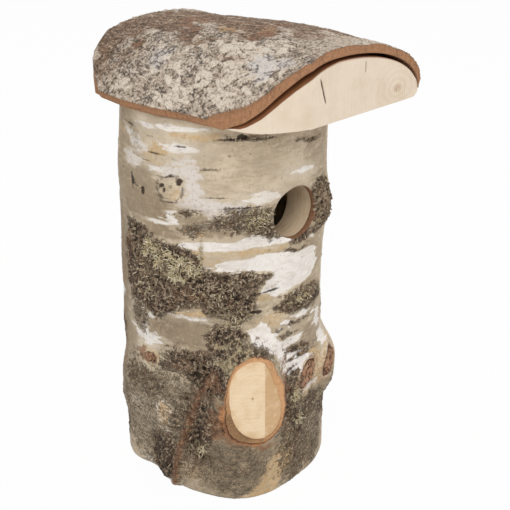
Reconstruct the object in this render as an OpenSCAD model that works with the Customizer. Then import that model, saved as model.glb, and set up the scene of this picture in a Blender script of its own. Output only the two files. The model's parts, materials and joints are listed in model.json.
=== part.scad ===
// Hollow-log nest box: a birch log section stood on its sawn base, hollowed out,
// with a round entrance near the top and a half-round slab for a roof.
// Millimetres. Origin on the log axis at the base, Z up, entrance facing -Y.
// Angles round the log: 0 is the front, positive towards +X.

/* [Log] */
// Mean outer radius of the log, bark included
log_radius = 64.5; // [50:0.5:90]
// Height of the log from its sawn base to the roof
log_height = 244.5; // [200:0.5:320]
// Thickness of the bark on the log
bark_thickness = 3.5; // [2:0.25:6]
// Radius of the bored-out hollow
hollow_radius = 44; // [34:0.5:54]
// Thickness of the floor disc
floor_thickness = 20; // [12:1:30]

/* [Entrance] */
// Radius of the entrance hole
entrance_radius = 16; // [12:0.5:20]
// Distance of the entrance centre below the roof
entrance_drop = 61.5; // [40:0.5:80]
// Distance of the entrance centre to the left of the log axis
entrance_shift = 2; // [0:0.5:4]

/* [Branch stub] */
// Angle of the stub round the log
stub_angle = -29; // [-40:1:-24]
// Height of the stub centre above the base
stub_height = 68.5; // [50:0.5:100]
// Half width of the sawn stub, its bark ring included
stub_half_width = 20; // [12:0.5:24]
// Half height of the sawn stub, its bark ring included
stub_half_height = 30.5; // [20:0.5:36]
// Distance of the sawn face outside the mean log radius
stub_reach = 15; // [12:0.5:24]
// Thickness of the bark ring round the stub
stub_bark = 2.4; // [1.5:0.1:5]

/* [Swellings] */
// Height of the swelling that carries the stub
stub_swelling = 12; // [6:0.5:16]
// Further height of the collar close round the stub
stub_collar = 3; // [0:0.5:6]
// Height of the swelling round the two scars at the right
scar_swelling = 8; // [4:0.5:12]
// Depth of the hollow beside the foot of the stub swelling
foot_hollow = 8; // [0:0.5:10]
// How far the knots stand proud of the bark
knot_proud = 0.6; // [0.2:0.1:3]

/* [Roof] */
// Reach of the roof in front of the log axis
roof_front = 93; // [80:0.5:120]
// Reach of the roof behind the log axis
roof_back = 66; // [60:0.5:90]
// Reach of the roof to the left of the log axis
roof_left = 69; // [60:0.5:90]
// Reach of the roof to the right of the log axis
roof_right = 74; // [60:0.5:100]
// Height of the roof crown above its flat underside, at its highest
roof_crown = 42.5; // [36:0.5:64]
// Thickness of the bark sheet on the roof
roof_bark_thickness = 5.8; // [4:0.1:9]
// Gap under the front edge of the bark sheet at its left
roof_gap = 6.5; // [2:0.1:8]

/* [Hidden] */

c_wood = [0.86, 0.76, 0.60];
c_bark = [0.62, 0.58, 0.50];
c_branch = [0.88, 0.74, 0.54];
c_ring = [0.55, 0.32, 0.18];
c_knot = [0.42, 0.26, 0.18];
c_roof_bark = [0.45, 0.38, 0.32];

entrance_z = log_height - entrance_drop;
hole_margin = 2.6;
front_half = asin((entrance_radius + entrance_shift + hole_margin) / hollow_radius);
other_span = (360 - 2 * front_half) / 7;
angle_steps = 6;
cut_extra = 8;
bore_extra = 30;

// levels up the log, as parts of its height
levels = [0, 0.08, 0.16, 0.23, 0.29, 0.35, 0.42, 0.5, 0.6, 0.68, 0.74, 0.8, 0.88, 1];
level_count = len(levels);

// swellings of the log: angle, height, spread of angle, spread of height, size
swellings = [
    // root of the branch stub, running down to the base
    [-33, stub_height - 32, 24, 62, stub_swelling],
    // collar close round the stub
    [stub_angle, stub_height, 21, 42, stub_collar],
    // shoulder that carries the two scars
    [33, 67, 18, 20, scar_swelling],
    // burr beside the entrance
    [26, entrance_z - 5, 14, 12, 3.5],
    // hollow beside the foot of the stub
    [-97, 0, 14, 42, -foot_hollow],
    // low knot at the back left
    [-123, 52, 18, 18, 3],
    // waist above the scars
    [52, 118, 26, 38, -4],
    // slight fullness at the back and at the right of the foot
    [148, 150, 34, 60, 1.6],
    [110, 20, 30, 40, 1.8],
    // slight taper below the roof
    [-125, log_height + 20, 50, 50, -2.5],
    [50, log_height - 15, 30, 40, -0.5]];
lobe_size = 0.6;

function swell(a, z, s) = s[4] * exp(-pow((a - s[0]) / s[2], 2) - pow((z - s[1]) / s[3], 4));
function total(v, i = 0) = i < len(v) ? v[i] + total(v, i + 1) : 0;

// angle brought into -180 to 180
function wrap(a) = a > 180 ? a - 360 : a < -180 ? a + 360 : a;

// radius of the log at an angle and a height
function log_shape(a, z) = log_radius + lobe_size * sin(3 * a + 40)
    + total([for (s = swellings) swell(a, z, s)]);

function rim_point(a, r, z) = [r * sin(a), -r * cos(a), z];

// the two triangles of one patch, cut along one diagonal or the other
function patch(a, b, c, d, turned) = turned ? [[a, b, d], [b, c, d]] : [[a, b, c], [a, c, d]];

// an end of a lofted body as a strip of slices between its two sides, n points from number f
function end_faces(n, f) = [for (i = [0 : ceil(n / 2) - 2])
    i + 1 == n - 2 - i
        ? [f + i, f + i + 1, f + n - 1 - i]
        : [f + i, f + i + 1, f + n - 2 - i, f + n - 1 - i]];

function turned_over(face) = [for (i = [len(face) - 1 : -1 : 0]) face[i]];

// faces of a lofted body: n points to a ring, m rings, the diagonals turned after the first k
function ring_faces(n, m, k) = concat(
    [for (j = [0 : m - 2]) for (i = [0 : n - 1])
        each patch(j * n + i, j * n + (i + 1) % n, (j + 1) * n + (i + 1) % n, (j + 1) * n + i, i >= k)],
    [for (face = end_faces(n, 0)) turned_over(face)],
    end_faces(n, (m - 1) * n));

// a sector of the log between two depths below its surface
module sector(a0, a1, depth, inner) {
    step = (a1 - a0) / angle_steps;
    rings = [for (f = levels) let (z = f * log_height)
        concat(
            [for (k = [angle_steps : -1 : 0]) let (a = a0 + k * step)
                rim_point(a, log_shape(wrap(a), z) - depth, z)],
            [for (k = [0 : angle_steps]) let (a = a0 + k * step)
                rim_point(a, inner > 0 ? inner : log_shape(wrap(a), z) - bark_thickness, z)])];
    count = 2 * (angle_steps + 1);
    polyhedron(
        points = [for (r = rings) for (p = r) p],
        faces = ring_faces(count, level_count, angle_steps + 1),
        convexity = 6);
}

function sector_start(i) = i == 0 ? -front_half : front_half + (i - 1) * other_span;
function sector_end(i) = i == 0 ? front_half : front_half + i * other_span;

module wood_sector(i) {
    difference() {
        sector(sector_start(i), sector_end(i), bark_thickness, hollow_radius - cut_extra);
        translate([0, 0, -1]) cylinder(r = hollow_radius, h = log_height + 2);
        if (i == 0) entrance_bore();
    }
}

module bark_sector(i) {
    sector(sector_start(i), sector_end(i), 0, 0);
}

module entrance_bore() {
    translate([-entrance_shift, 0, entrance_z])
        rotate([90, 0, 0])
            cylinder(r = entrance_radius, h = log_radius + bore_extra);
}

// a block that follows the wood surface, used to trim what grows out of it
module log_core() {
    ring_steps = 8 * angle_steps;
    edges = [for (i = [0 : 7]) for (k = [0 : angle_steps - 1])
        sector_start(i) + k * (sector_end(i) - sector_start(i)) / angle_steps];
    rings = [for (f = levels) let (z = f * log_height)
        [for (k = [ring_steps - 1 : -1 : 0])
            rim_point(edges[k], log_shape(wrap(edges[k]), z) - bark_thickness, z)]];
    polyhedron(
        points = [for (r = rings) for (p = r) p],
        faces = ring_faces(ring_steps, level_count, ring_steps),
        convexity = 4);
}

// an upright oval bar, pointing outwards from the log at an angle and a height
module oval_bar(a, z, half_w, half_h, reach) {
    rotate([0, 0, a])
        translate([0, 0, z])
            rotate([90, 0, 0])
                linear_extrude(height = reach)
                    scale([half_w, half_h])
                        circle(r = 1, $fn = 28);
}

module stub_bar(shrink) {
    oval_bar(stub_angle, stub_height, stub_half_width - shrink, stub_half_height - shrink,
        log_radius + stub_reach);
}

// the second, narrower saw cut across the right of the stub
second_cut_turn = 14;
second_cut_start = 4;

module stub_second_cut() {
    rotate([0, 0, stub_angle])
        translate([second_cut_start, -log_radius - stub_reach, 0])
            rotate([0, 0, second_cut_turn])
                translate([0, -stub_half_width, 0])
                    cube([2 * stub_half_width, stub_half_width, stub_height + 2 * stub_half_height]);
}

// a knot: angle, height, half width, half height
scar_inner_at = [6.5, 72, 6.5, 10.5];
scar_outer_at = [27, 71, 7, 12];
knot_left_at = [-87, 84, 6, 5];

module knot_bar(k, reach) {
    oval_bar(k[0], k[1], k[2], k[3], reach);
}

// the opening that a knot fills in the bark
module knot_socket(k) {
    knot_bar(k, log_shape(k[0], k[1]) + cut_extra);
}

module knot(k) {
    difference() {
        knot_bar(k, log_shape(k[0], k[1]) + knot_proud);
        log_core();
    }
}

// roof: half-round slab, its section changing along Y
// places along the roof, as parts of its reach in front of the log axis, back to front
roof_stations = [0.72, 0.52, 0.35, 0.12, -0.12, -0.33, -0.5, -0.66, -0.86, -1.03];
roof_steps = 16;
roof_edge_height = 6;
roof_side_height = 10;
lift_start = -0.42;
left_lap = 4;
right_lap = 2;
side_foot = 5;

function crown(s) = roof_crown * lookup(s,
    [[-1.03, 1], [-0.86, 0.98], [-0.33, 0.98], [-0.12, 0.95], [0.12, 0.9], [0.35, 0.86], [0.72, 0.85]]);
function left_edge(s) = -roof_left * lookup(s,
    [[-1.03, 0.87], [-0.66, 0.85], [-0.33, 0.9], [-0.12, 0.97], [0.12, 1], [0.35, 0.97], [0.72, 0.86]]);
function right_edge(s) = roof_right * lookup(s,
    [[-1.03, 1], [0.12, 1], [0.35, 0.97], [0.72, 0.86]]);
function ridge(s) = lookup(s, [[-1.03, 1], [0, 11], [0.72, 4]]);
function left_bow(s) = lookup(s, [[-1.03, 2.5], [0.72, 3.5]]);

// outer surface of the bark sheet, k from the left edge to the right
function roof_outer(s, k) =
    let (t = 180 * k / roof_steps, c = cos(t), h = crown(s))
    c > 0
        ? [ridge(s) - (ridge(s) - left_edge(s)) * c, s * roof_front,
            roof_edge_height + (h - roof_edge_height) * (1 - pow(c, left_bow(s)))]
        : [ridge(s) - (right_edge(s) - ridge(s)) * c, s * roof_front,
            roof_side_height + (h - roof_side_height) * sin(t)];

// underside of the bark sheet
function roof_under(s, k) =
    let (t = 180 * k / roof_steps, c = cos(t), h = crown(s) - roof_bark_thickness)
    c > 0
        ? [ridge(s) - (ridge(s) - left_edge(s) - left_lap) * c, s * roof_front,
            h * (1 - pow(c, left_bow(s)))]
        : [ridge(s) - (right_edge(s) - ridge(s) - right_lap) * c, s * roof_front,
            side_foot + (h - side_foot) * sin(t)];

// top of the wood, falling away from the bark towards the front
function roof_wood(s, k) =
    let (p = roof_under(s, k), t = 180 * k / roof_steps,
        lift = s < lift_start ? roof_gap * pow((lift_start - s) / 0.6, 1.3) : 0,
        drop = lift * (0.37 + 0.63 * max(0, cos(t))) * min(1, 3 * sin(t)))
    [p[0], p[1], p[2] - min(drop, 0.6 * p[2])];

module roof_bark_body() {
    rings = [for (s = roof_stations) concat(
        [[left_edge(s) + 0.8, s * roof_front, 0]],
        [for (k = [0 : roof_steps]) roof_outer(s, k)],
        [for (k = [roof_steps : -1 : 0]) roof_under(s, k)])];
    polyhedron(
        points = [for (r = rings) for (p = r) p],
        faces = ring_faces(2 * roof_steps + 3, len(roof_stations), roof_steps + 2),
        convexity = 6);
}

module roof_wood_body() {
    rings = [for (s = roof_stations) concat(
        [for (k = [0 : roof_steps]) roof_wood(s, k)],
        [[right_edge(s) - 2.8, s * roof_front, 2],
            [right_edge(s) - 6, s * roof_front, 0]])];
    polyhedron(
        points = [for (r = rings) for (p = r) p],
        faces = ring_faces(roof_steps + 3, len(roof_stations), roof_steps + 3),
        convexity = 6);
}

// outline of the roof seen from above, its corners sawn round
module roof_plan(inset) {
    f = -roof_front + inset;
    b = roof_back - inset;
    l = -roof_left + inset;
    r = roof_right - inset;
    translate([0, 0, -1])
        linear_extrude(height = roof_crown + 10)
            polygon([[r + 8, f], [l + 47, f], [l + 37, f + 3.5], [l + 31, f + 7.5],
                [l + 22, f + 13], [l + 17.5, f + 22], [l + 15.5, f + 31], [l + 12.5, f + 38],
                [l + 10, f + 44], [l - 8, f + 50], [l - 8, b - 34], [l + 2, b - 32], [l + 9, b - 19],
                [l + 18, b - 6], [l + 26, b - 2], [l + 40, b], [r - 40, b],
                [r - 18, b - 3], [r - 7, b - 13], [r - 1, b - 32], [r + 8, b - 40]]);
}

module wood_front() color(c_wood) wood_sector(0);
module wood_front_right() color(c_wood) wood_sector(1);
module wood_right() color(c_wood) wood_sector(2);
module wood_back_right() color(c_wood) wood_sector(3);
module wood_back() color(c_wood) wood_sector(4);
module wood_back_left() color(c_wood) wood_sector(5);
module wood_left() color(c_wood) wood_sector(6);
module wood_front_left() color(c_wood) wood_sector(7);

module bark_front() color(c_bark) difference() {
    bark_sector(0);
    entrance_bore();
    stub_bar(0);
    knot_socket(scar_inner_at);
    knot_socket(scar_outer_at);
}
module bark_front_right() color(c_bark) difference() {
    bark_sector(1);
    knot_socket(scar_outer_at);
}
module bark_right() color(c_bark) bark_sector(2);
module bark_back_right() color(c_bark) bark_sector(3);
module bark_back() color(c_bark) bark_sector(4);
module bark_back_left() color(c_bark) bark_sector(5);
module bark_left() color(c_bark) difference() {
    bark_sector(6);
    knot_socket(knot_left_at);
}
module bark_front_left() color(c_bark) difference() {
    bark_sector(7);
    stub_bar(0);
}

module floor_disc() color(c_wood) cylinder(r = hollow_radius, h = floor_thickness);

module branch_stub() color(c_branch) difference() {
    stub_bar(stub_bark);
    log_core();
    stub_second_cut();
}
module branch_bark() color(c_ring) difference() {
    stub_bar(0);
    stub_bar(stub_bark);
    log_core();
    stub_second_cut();
}
module scar_inner() color(c_knot) knot(scar_inner_at);
module scar_outer() color(c_knot) knot(scar_outer_at);
module knot_left() color(c_knot) knot(knot_left_at);

module roof_slab() color(c_wood)
    translate([0, 0, log_height])
        intersection() {
            roof_wood_body();
            roof_plan(0.8);
        }
module roof_bark() color(c_roof_bark)
    translate([0, 0, log_height])
        intersection() {
            roof_bark_body();
            roof_plan(0);
        }

wood_front();
wood_front_left();
wood_left();
wood_back_left();
wood_back();
wood_back_right();
wood_right();
wood_front_right();
bark_front();
bark_front_left();
bark_left();
bark_back_left();
bark_back();
bark_back_right();
bark_right();
bark_front_right();
floor_disc();
branch_stub();
branch_bark();
scar_inner();
scar_outer();
knot_left();
roof_slab();
roof_bark();
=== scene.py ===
"""Looks of the hollow-log nest box: birch bark, sawn wood, lichens and the stage they stand on."""

import json
import math

import bpy
import numpy as np
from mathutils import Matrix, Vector


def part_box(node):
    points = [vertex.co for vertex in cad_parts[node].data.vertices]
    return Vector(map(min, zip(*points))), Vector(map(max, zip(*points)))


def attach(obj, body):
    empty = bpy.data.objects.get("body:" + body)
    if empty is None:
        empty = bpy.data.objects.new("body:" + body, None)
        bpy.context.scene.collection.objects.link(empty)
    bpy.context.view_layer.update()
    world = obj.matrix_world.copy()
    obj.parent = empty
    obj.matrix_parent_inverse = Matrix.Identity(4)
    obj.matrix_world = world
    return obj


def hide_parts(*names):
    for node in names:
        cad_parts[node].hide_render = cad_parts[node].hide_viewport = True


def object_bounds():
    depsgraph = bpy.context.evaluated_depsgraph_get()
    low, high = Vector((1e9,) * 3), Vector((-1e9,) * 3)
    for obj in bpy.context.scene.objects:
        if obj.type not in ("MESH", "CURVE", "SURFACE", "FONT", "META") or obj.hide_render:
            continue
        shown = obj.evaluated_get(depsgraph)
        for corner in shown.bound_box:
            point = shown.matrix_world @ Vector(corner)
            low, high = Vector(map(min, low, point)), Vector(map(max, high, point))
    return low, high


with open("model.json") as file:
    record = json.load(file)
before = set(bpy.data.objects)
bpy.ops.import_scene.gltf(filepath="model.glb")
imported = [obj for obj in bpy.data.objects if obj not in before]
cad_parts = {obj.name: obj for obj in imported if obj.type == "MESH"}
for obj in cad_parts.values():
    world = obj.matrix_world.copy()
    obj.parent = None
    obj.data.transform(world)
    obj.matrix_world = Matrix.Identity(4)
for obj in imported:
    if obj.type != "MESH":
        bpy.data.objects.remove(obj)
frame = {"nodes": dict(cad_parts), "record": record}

bl_info = {
    "name": "Log nest box",
    "version": (1, 0, 0),
    "blender": (4, 5, 0),
    "location": "View3D > Sidebar > Nest box",
    "description": "Builds the bark, wood, lichens and stage of a hollow-log nest box",
    "category": "Object",
}

CAD_LOW, CAD_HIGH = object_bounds()
MIDDLE = (Vector(CAD_LOW) + Vector(CAD_HIGH)) / 2
MM = 0.001
SIDES = ("front", "front_left", "left", "back_left", "back", "back_right", "right", "front_right")
BARK_NODES = ["bark_" + side for side in SIDES]
WOOD_NODES = ["wood_" + side for side in SIDES]

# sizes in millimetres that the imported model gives
LOG_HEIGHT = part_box("wood_back")[1][2] / MM
ROOF_LOW = [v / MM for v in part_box("roof_bark")[0]]
ROOF_HIGH = [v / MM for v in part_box("roof_bark")[1]]
ENTRANCE = [m for m in frame["record"]["mounts"] if m["name"] == "entrance"][0]
HOLE_X = ENTRANCE["pos_m"][0] / MM
HOLE_Z = ENTRANCE["pos_m"][2] / MM
HOLE_RADIUS = ENTRANCE["dims"]["r_mm"]
STUB_ANGLE = -29
STUB_HEIGHT = 68.5
STUB_FACE = 79.5
STUB_MIDDLE = (-1.5, 3.0)
STUB_FOLD = 4  # across the stub, where the second saw cut starts
STUB_SLOPE = 14  # degrees between the two saw cuts
# outlines on the sawn face, across and up from the stub's middle height
STUB_OUTER = ((-1.6, 32.6), (7, 29.8), (12.5, 18.2), (17.0, 1.7), (17.4, -12), (14.6, -20),
              (8.5, -25.2), (0.8, -27.2), (-8.6, -25.6), (-17, -21.7), (-20, -14.9),
              (-20, -1.7), (-19.4, 11.6), (-18, 19.8), (-13.3, 28.1), (-7, 31.8))
STUB_INNER = ((-2, 30.9), (3.9, 29.6), (7.4, 22.1), (10, 14.5), (13.3, 4.6), (15.2, -6),
              (14.4, -14.9), (9.4, -21.5), (0.8, -23.7), (-5.5, -21.8), (-11.7, -16.5),
              (-15.6, -8.9), (-17.5, 0), (-18, 9.3), (-17.0, 19.8), (-12.8, 26.9), (-7, 30.2))
BARK_THICKNESS = 3.5
LOG_RADIUS = 64.5
LOBE_SIZE = 0.6
KNOT_LEAN = 0.4  # across for each millimetre up, on the two scars
SHOWN_ANGLE = -43  # the side of the log that faces the camera
# millimetres round the bark for one degree, as the marks, the mesh and the growths take it
DEGREE, MESH_DEGREE, GROWTH_DEGREE = 1.13, 1.126, 1.15

# swellings of the log: angle, height, spread of angle, spread of height, size
SWELLINGS = (
    (-33, STUB_HEIGHT - 32, 24, 62, 12), (STUB_ANGLE, STUB_HEIGHT, 21, 42, 3), (33, 67, 18, 20, 8),
    (26, HOLE_Z - 5, 14, 12, 3.5), (-97, 0, 14, 42, -8), (-123, 52, 18, 18, 3), (52, 118, 26, 38, -4),
    (148, 150, 34, 60, 1.6), (110, 20, 30, 40, 1.8), (-125, LOG_HEIGHT + 20, 50, 50, -2.5),
    (50, LOG_HEIGHT - 15, 30, 40, -0.5))


def paint(red, green, blue):
    """A colour as it looks, from 0 to 255, turned into the linear values that shaders use."""
    return tuple((v / 255 / 12.92) if v < 10.3 else ((v / 255 + 0.055) / 1.055) ** 2.4
                 for v in (red, green, blue))


def darker(tone, share):
    """A colour with each value cut down to a share of it."""
    return tuple(v * share for v in tone)


# ---------------------------------------------------------------- settings

def colour(name, what, red, green, blue):
    return bpy.props.FloatVectorProperty(
        name=name, description=what, subtype="COLOR", size=3, min=0, max=1,
        default=paint(red, green, blue))


def length(name, what, millimetres, low=0.0, high=20.0):
    return bpy.props.FloatProperty(
        name=name, description=what, subtype="DISTANCE", unit="LENGTH",
        default=millimetres * MM, min=low * MM, max=high * MM)


class BarkSettings(bpy.types.PropertyGroup):
    cream: colour("Cream", "Smooth bark", 206, 190, 166)
    tan: colour("Tan", "Darker clouds in the smooth bark", 172, 154, 128)
    white: colour("White", "Fresh paper bark", 234, 228, 221)
    white_shade: colour("White shade", "Thin layers over the paper bark", 206, 194, 178)
    ochre: colour("Ochre", "Yellowish strokes in the smooth bark", 200, 166, 116)
    olive: colour("Olive", "Dull olive patches", 150, 131, 106)
    soil: colour("Weathered", "Weathered bark low on the log", 158, 140, 115)
    soil_dark: colour("Weathered depths", "Dark mottling low on the log", 88, 76, 62)
    veil: colour("Veil", "Thin lilac layer over the smooth bark", 217, 209, 203)
    ledge: colour("Chipped edge", "Orange inner bark chipped open beside the stub", 196, 138, 92)
    growth: colour("Growth", "Yellowish grey crumbs of lichen on the bark", 190, 174, 140)
    crust: colour("Crust", "Rough crust, its mid tone", 126, 107, 88)
    # crust depths: the crust's own dark tone, and also painted shade at the bottom of its fissures
    crust_dark_and_shade: colour("Crust depths", "Fissures between the crust plates", 44, 34, 27)
    crust_light: colour("Crust crumbs", "Pale crumbs and threads on the crust", 196, 181, 156)
    rust: colour("Rust", "Reddish inner bark", 140, 98, 70)
    mark: colour("Marks", "Lenticels and eyes", 52, 40, 32)
    cut: colour("Cut edge", "Sawn edge of the bark", 142, 103, 76)
    near_step: length("Near step", "Spacing of the mesh on the front left of the log", 0.92, 0.6, 4)
    far_step: length("Far step", "Spacing of the mesh on the rest of the log", 1.7, 0.6, 5)


class RoofSettings(bpy.types.PropertyGroup):
    flake: colour("Flakes", "Pale bark flakes", 222, 210, 194)
    flake_warm: colour("Warm flakes", "Warmer bark flakes", 190, 169, 147)
    # crevices: painted shade in the gaps between the flakes, where their relief is low; also darkened for
    # dark specks and thin threads
    crevice_dark_and_shade: colour("Crevices", "Gaps between the flakes", 74, 66, 58)
    ground: colour("Ground", "Speckled bark between the flakes", 208, 193, 177)
    ground_dark: colour("Dark ground", "Darker specks between the flakes", 132, 117, 103)
    lilac: colour("Lilac", "Cool pale crust on the flakes", 212, 207, 205)
    brown: colour("Brown", "Worn brown bark", 126, 98, 77)
    red_brown: colour("Red brown", "Reddish worn bark", 142, 100, 76)
    ochre: colour("Ochre", "Yellow brown worn bark", 184, 150, 112)
    edge: colour("Cut edge", "Sawn edge of the sheet", 176, 130, 96)
    wood: colour("End grain", "Sawn face of the slab", 225, 209, 189)
    wood_line: colour("Rings", "Rings and saw lines of the slab", 207, 187, 161)
    top: colour("Slab top", "Round side of the slab, under the bark", 150, 98, 62)
    flake_height: length("Flake height", "Height of the bark flakes", 1.5, 0.2, 4)
    step: length("Step", "Spacing of the mesh on the roof", 0.85, 0.5, 4)


class WoodSettings(bpy.types.PropertyGroup):
    hollow: colour("Hollow", "Bored wood inside the log", 200, 180, 152)
    hollow_line: colour("Hollow grain", "Grain of the bored wood", 178, 155, 126)
    stub: colour("Stub", "Sawn face of the branch stub", 235, 211, 178)
    stub_line: colour("Stub rings", "Rings of the branch stub", 216, 184, 143)
    # stub edge: a darker tint towards the rim of the sawn face, and the painted shade of the second saw cut,
    # which is turned from the light
    stub_rim_and_cut_shade: colour("Stub edge", "Second saw cut of the branch stub", 208, 172, 126)
    ring: colour("Stub bark", "Bark ring round the stub", 212, 163, 118)
    ring_dark: colour("Stub bark shade", "Darker layers of the bark ring", 152, 118, 84)
    ring_red: colour("Stub bark cracks", "Reddish cracks round the stub", 134, 84, 58)
    scar: colour("Scar", "Old knot wood", 166, 126, 98)
    # scar depths: dark specks of the knot wood, and painted shade in the knot's hollows
    scar_dark_and_shade: colour("Scar depths", "Hollows of the old knots", 84, 58, 43)
    scar_rim: colour("Scar rim", "Rim round an old knot", 214, 186, 160)
    lichen: colour("Lichen", "Yellowish lichen", 204, 187, 148)
    lichen_pale: colour("Pale lichen", "Tips of the lichen", 238, 228, 204)


class StageSettings(bpy.types.PropertyGroup):
    floor: colour("Floor", "Pale floor", 236, 235, 233)
    azimuth: bpy.props.FloatProperty(
        name="Azimuth", description="Side the camera stands on", subtype="ANGLE",
        default=math.radians(-45))
    elevation: bpy.props.FloatProperty(
        name="Elevation", description="Height of the camera above the horizon", subtype="ANGLE",
        default=math.radians(23.5))
    distance: bpy.props.FloatProperty(
        name="Distance", description="Camera to the middle of the box", unit="LENGTH",
        subtype="DISTANCE", default=0.82)
    lens: bpy.props.FloatProperty(
        name="Lens", description="Focal length", subtype="DISTANCE_CAMERA", default=91.76)
    key: bpy.props.FloatProperty(
        name="Key lamp", description="Power of the main lamp", subtype="POWER", default=8.4)
    fill: bpy.props.FloatProperty(
        name="Fill lamp", description="Power of the fill lamp", subtype="POWER", default=4.0)
    air: bpy.props.FloatProperty(
        name="Sky", description="Strength of the light from all round", default=0.51)


# ---------------------------------------------------------------- shader maths

class Wire:
    """A shader socket that takes part in sums."""

    def __init__(self, finish, socket):
        self.finish = finish
        self.socket = socket

    def maths(self, operation, first, second=0.0, clamp=False):
        return self.finish.node("ShaderNodeMath", {"operation": operation, "use_clamp": clamp},
                                {0: first, 1: second})

    def __add__(self, other): return self.maths("ADD", self, other)
    def __radd__(self, other): return self.maths("ADD", other, self)
    def __sub__(self, other): return self.maths("SUBTRACT", self, other)
    def __rsub__(self, other): return self.maths("SUBTRACT", other, self)
    def __mul__(self, other): return self.maths("MULTIPLY", self, other)
    def __rmul__(self, other): return self.maths("MULTIPLY", other, self)
    def __pow__(self, other): return self.maths("POWER", self, other)
    def held(self): return self.maths("ADD", self, 0.0, True)
    def wave(self): return self.maths("SINE", self)


class Finish:
    """A material in the making, or the world's own shader."""

    def __init__(self, name, world=False):
        self.material = (bpy.data.worlds if world else bpy.data.materials).new(name)
        self.material.use_nodes = True
        self.tree = self.material.node_tree
        self.tree.nodes.clear()
        self.end = "ShaderNodeOutputWorld" if world else "ShaderNodeOutputMaterial"

    def node(self, kind, settings=None, sockets=None, out=0):
        made = self.tree.nodes.new(kind)
        for key, value in (settings or {}).items():
            if key == "stops":
                self.set_stops(made.color_ramp, value)
            else:
                setattr(made, key, value)
        for key, value in (sockets or {}).items():
            if isinstance(value, Wire):
                self.tree.links.new(value.socket, made.inputs[key])
            else:
                made.inputs[key].default_value = self.fitted(made.inputs[key], value)
        return Wire(self, made.outputs[out])

    @staticmethod
    def fitted(socket, value):
        if socket.type == "RGBA" and len(value) == 3:
            return (*value, 1.0)
        return value

    @staticmethod
    def set_stops(ramp, stops):
        while len(ramp.elements) < len(stops):
            ramp.elements.new(1.0)
        for element, (place, shade) in zip(ramp.elements, stops):
            element.position = place
            element.color = (*shade, 1.0)

    def place(self, stretch=(1, 1, 1), turn=(0, 0, 0)):
        """Where a point is, in metres, stretched for a grain that runs one way."""
        coords = self.node("ShaderNodeTexCoord", out="Object")
        if tuple(stretch) == (1, 1, 1) and tuple(turn) == (0, 0, 0):
            return coords
        return self.node("ShaderNodeMapping", {}, {"Vector": coords, "Scale": stretch, "Rotation": turn})

    def leaning(self, longer, turn):
        """Where a point is, for a grain that runs longer along its own turned axes."""
        coords = self.node("ShaderNodeTexCoord", out="Object")
        return self.node("ShaderNodeMapping", {"vector_type": "TEXTURE"},
                         {"Vector": coords, "Scale": longer, "Rotation": turn})

    def grain(self, where, size, detail=3.0, rough=0.55):
        """Soft noise with features of a size in millimetres."""
        return self.node("ShaderNodeTexNoise", {}, {
            "Vector": where, "Scale": 1 / (size * MM), "Detail": detail, "Roughness": rough})

    def axis(self, vector, which):
        """One part of a vector: 0 across, 1 along, 2 up."""
        return self.node("ShaderNodeSeparateXYZ", {}, {"Vector": vector}, out=which)

    def mark(self, name):
        return self.node("ShaderNodeAttribute", {"attribute_name": name}, out="Fac")

    def blend(self, first, second, share):
        return self.node("ShaderNodeMix", {"data_type": "RGBA"}, {0: share, 6: first, 7: second}, out=2)

    def coat(self, first, second, value, low, high, share=None):
        """Two colours blended as a value runs from low to high, at most by a share."""
        spread = self.levels(value, low, high)
        return self.blend(first, second, spread if share is None else spread * share)

    def crisp(self, mask, noise, wander=0.5, sharp=5.0):
        """A soft mask made crisp, its edge wandering with a noise."""
        return ((mask - 0.5 + (noise - 0.5) * wander) * sharp + 0.5).held()

    def levels(self, value, low, high):
        """A value spread so that low gives 0 and high gives 1."""
        return ((value - low) * (1 / (high - low))).held()

    def threads(self, noise, thin=0.03):
        """Thin winding lines where a noise passes its middle value."""
        off = self.node("ShaderNodeMath", {"operation": "ABSOLUTE"}, {0: noise - 0.5})
        return self.levels(off, thin, thin * 0.3)

    def surface(self, base, rough, height=None, relief=0.3, specular=0.3):
        sockets = {"Base Color": base, "Roughness": rough, "Specular IOR Level": specular}
        if height is not None:
            sockets["Normal"] = self.node("ShaderNodeBump", {}, {
                "Height": height, "Distance": relief * MM, "Strength": 1.0})
        shader = self.node("ShaderNodeBsdfPrincipled", {}, sockets)
        self.output(shader)
        return self.material

    def output(self, shader):
        self.tree.links.new(shader.socket, self.tree.nodes.new(self.end).inputs["Surface"])


# ---------------------------------------------------------------- repeatable noise

def scatter(i, j, k, seed):
    """A repeatable number from 0 to 1 for every whole-numbered place."""
    mask = 0xFFFFFFFF
    h = (i * 73856093 & mask) ^ (j * 19349663 & mask) ^ (k * 83492791 & mask) ^ (seed * 2654435 & mask)
    h = ((h ^ (h >> 15)) * 73244475) & mask
    h = ((h ^ (h >> 13)) * 40503 + 12345) & mask
    h = h ^ (h >> 16)
    return (h & 0xFFFF) / 65535.0


def ripple(x, y, z, seed):
    """Smooth noise from 0 to 1 with features about one unit across."""
    i, j, k = (np.floor(v).astype(np.int64) for v in (x, y, z))
    u, v, w = x - i, y - j, z - k
    u, v, w = (f * f * f * (f * (f * 6 - 15) + 10) for f in (u, v, w))
    found = 0
    for di in (0, 1):
        for dj in (0, 1):
            for dk in (0, 1):
                share = (u if di else 1 - u) * (v if dj else 1 - v) * (w if dk else 1 - w)
                found = found + share * scatter(i + di, j + dj, k + dk, seed)
    return found


def rough_noise(x, y, z, octaves, seed):
    """Several sizes of noise together, from about -1 to 1."""
    found, share, whole = 0, 1.0, 0.0
    for octave in range(octaves):
        scale = 2.0 ** octave
        found = found + share * (ripple(x * scale + 17 * octave, y * scale, z * scale, seed + octave) - 0.5)
        whole += share
        share *= 0.55
    return found / whole * 2.6


def unit(x):
    """A value kept from 0 to 1."""
    return np.clip(x, 0, 1)


def hill(x, width):
    """One where x is nothing, falling softly to nothing on both sides of it."""
    return np.exp(-(x / width) ** 2)


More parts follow.
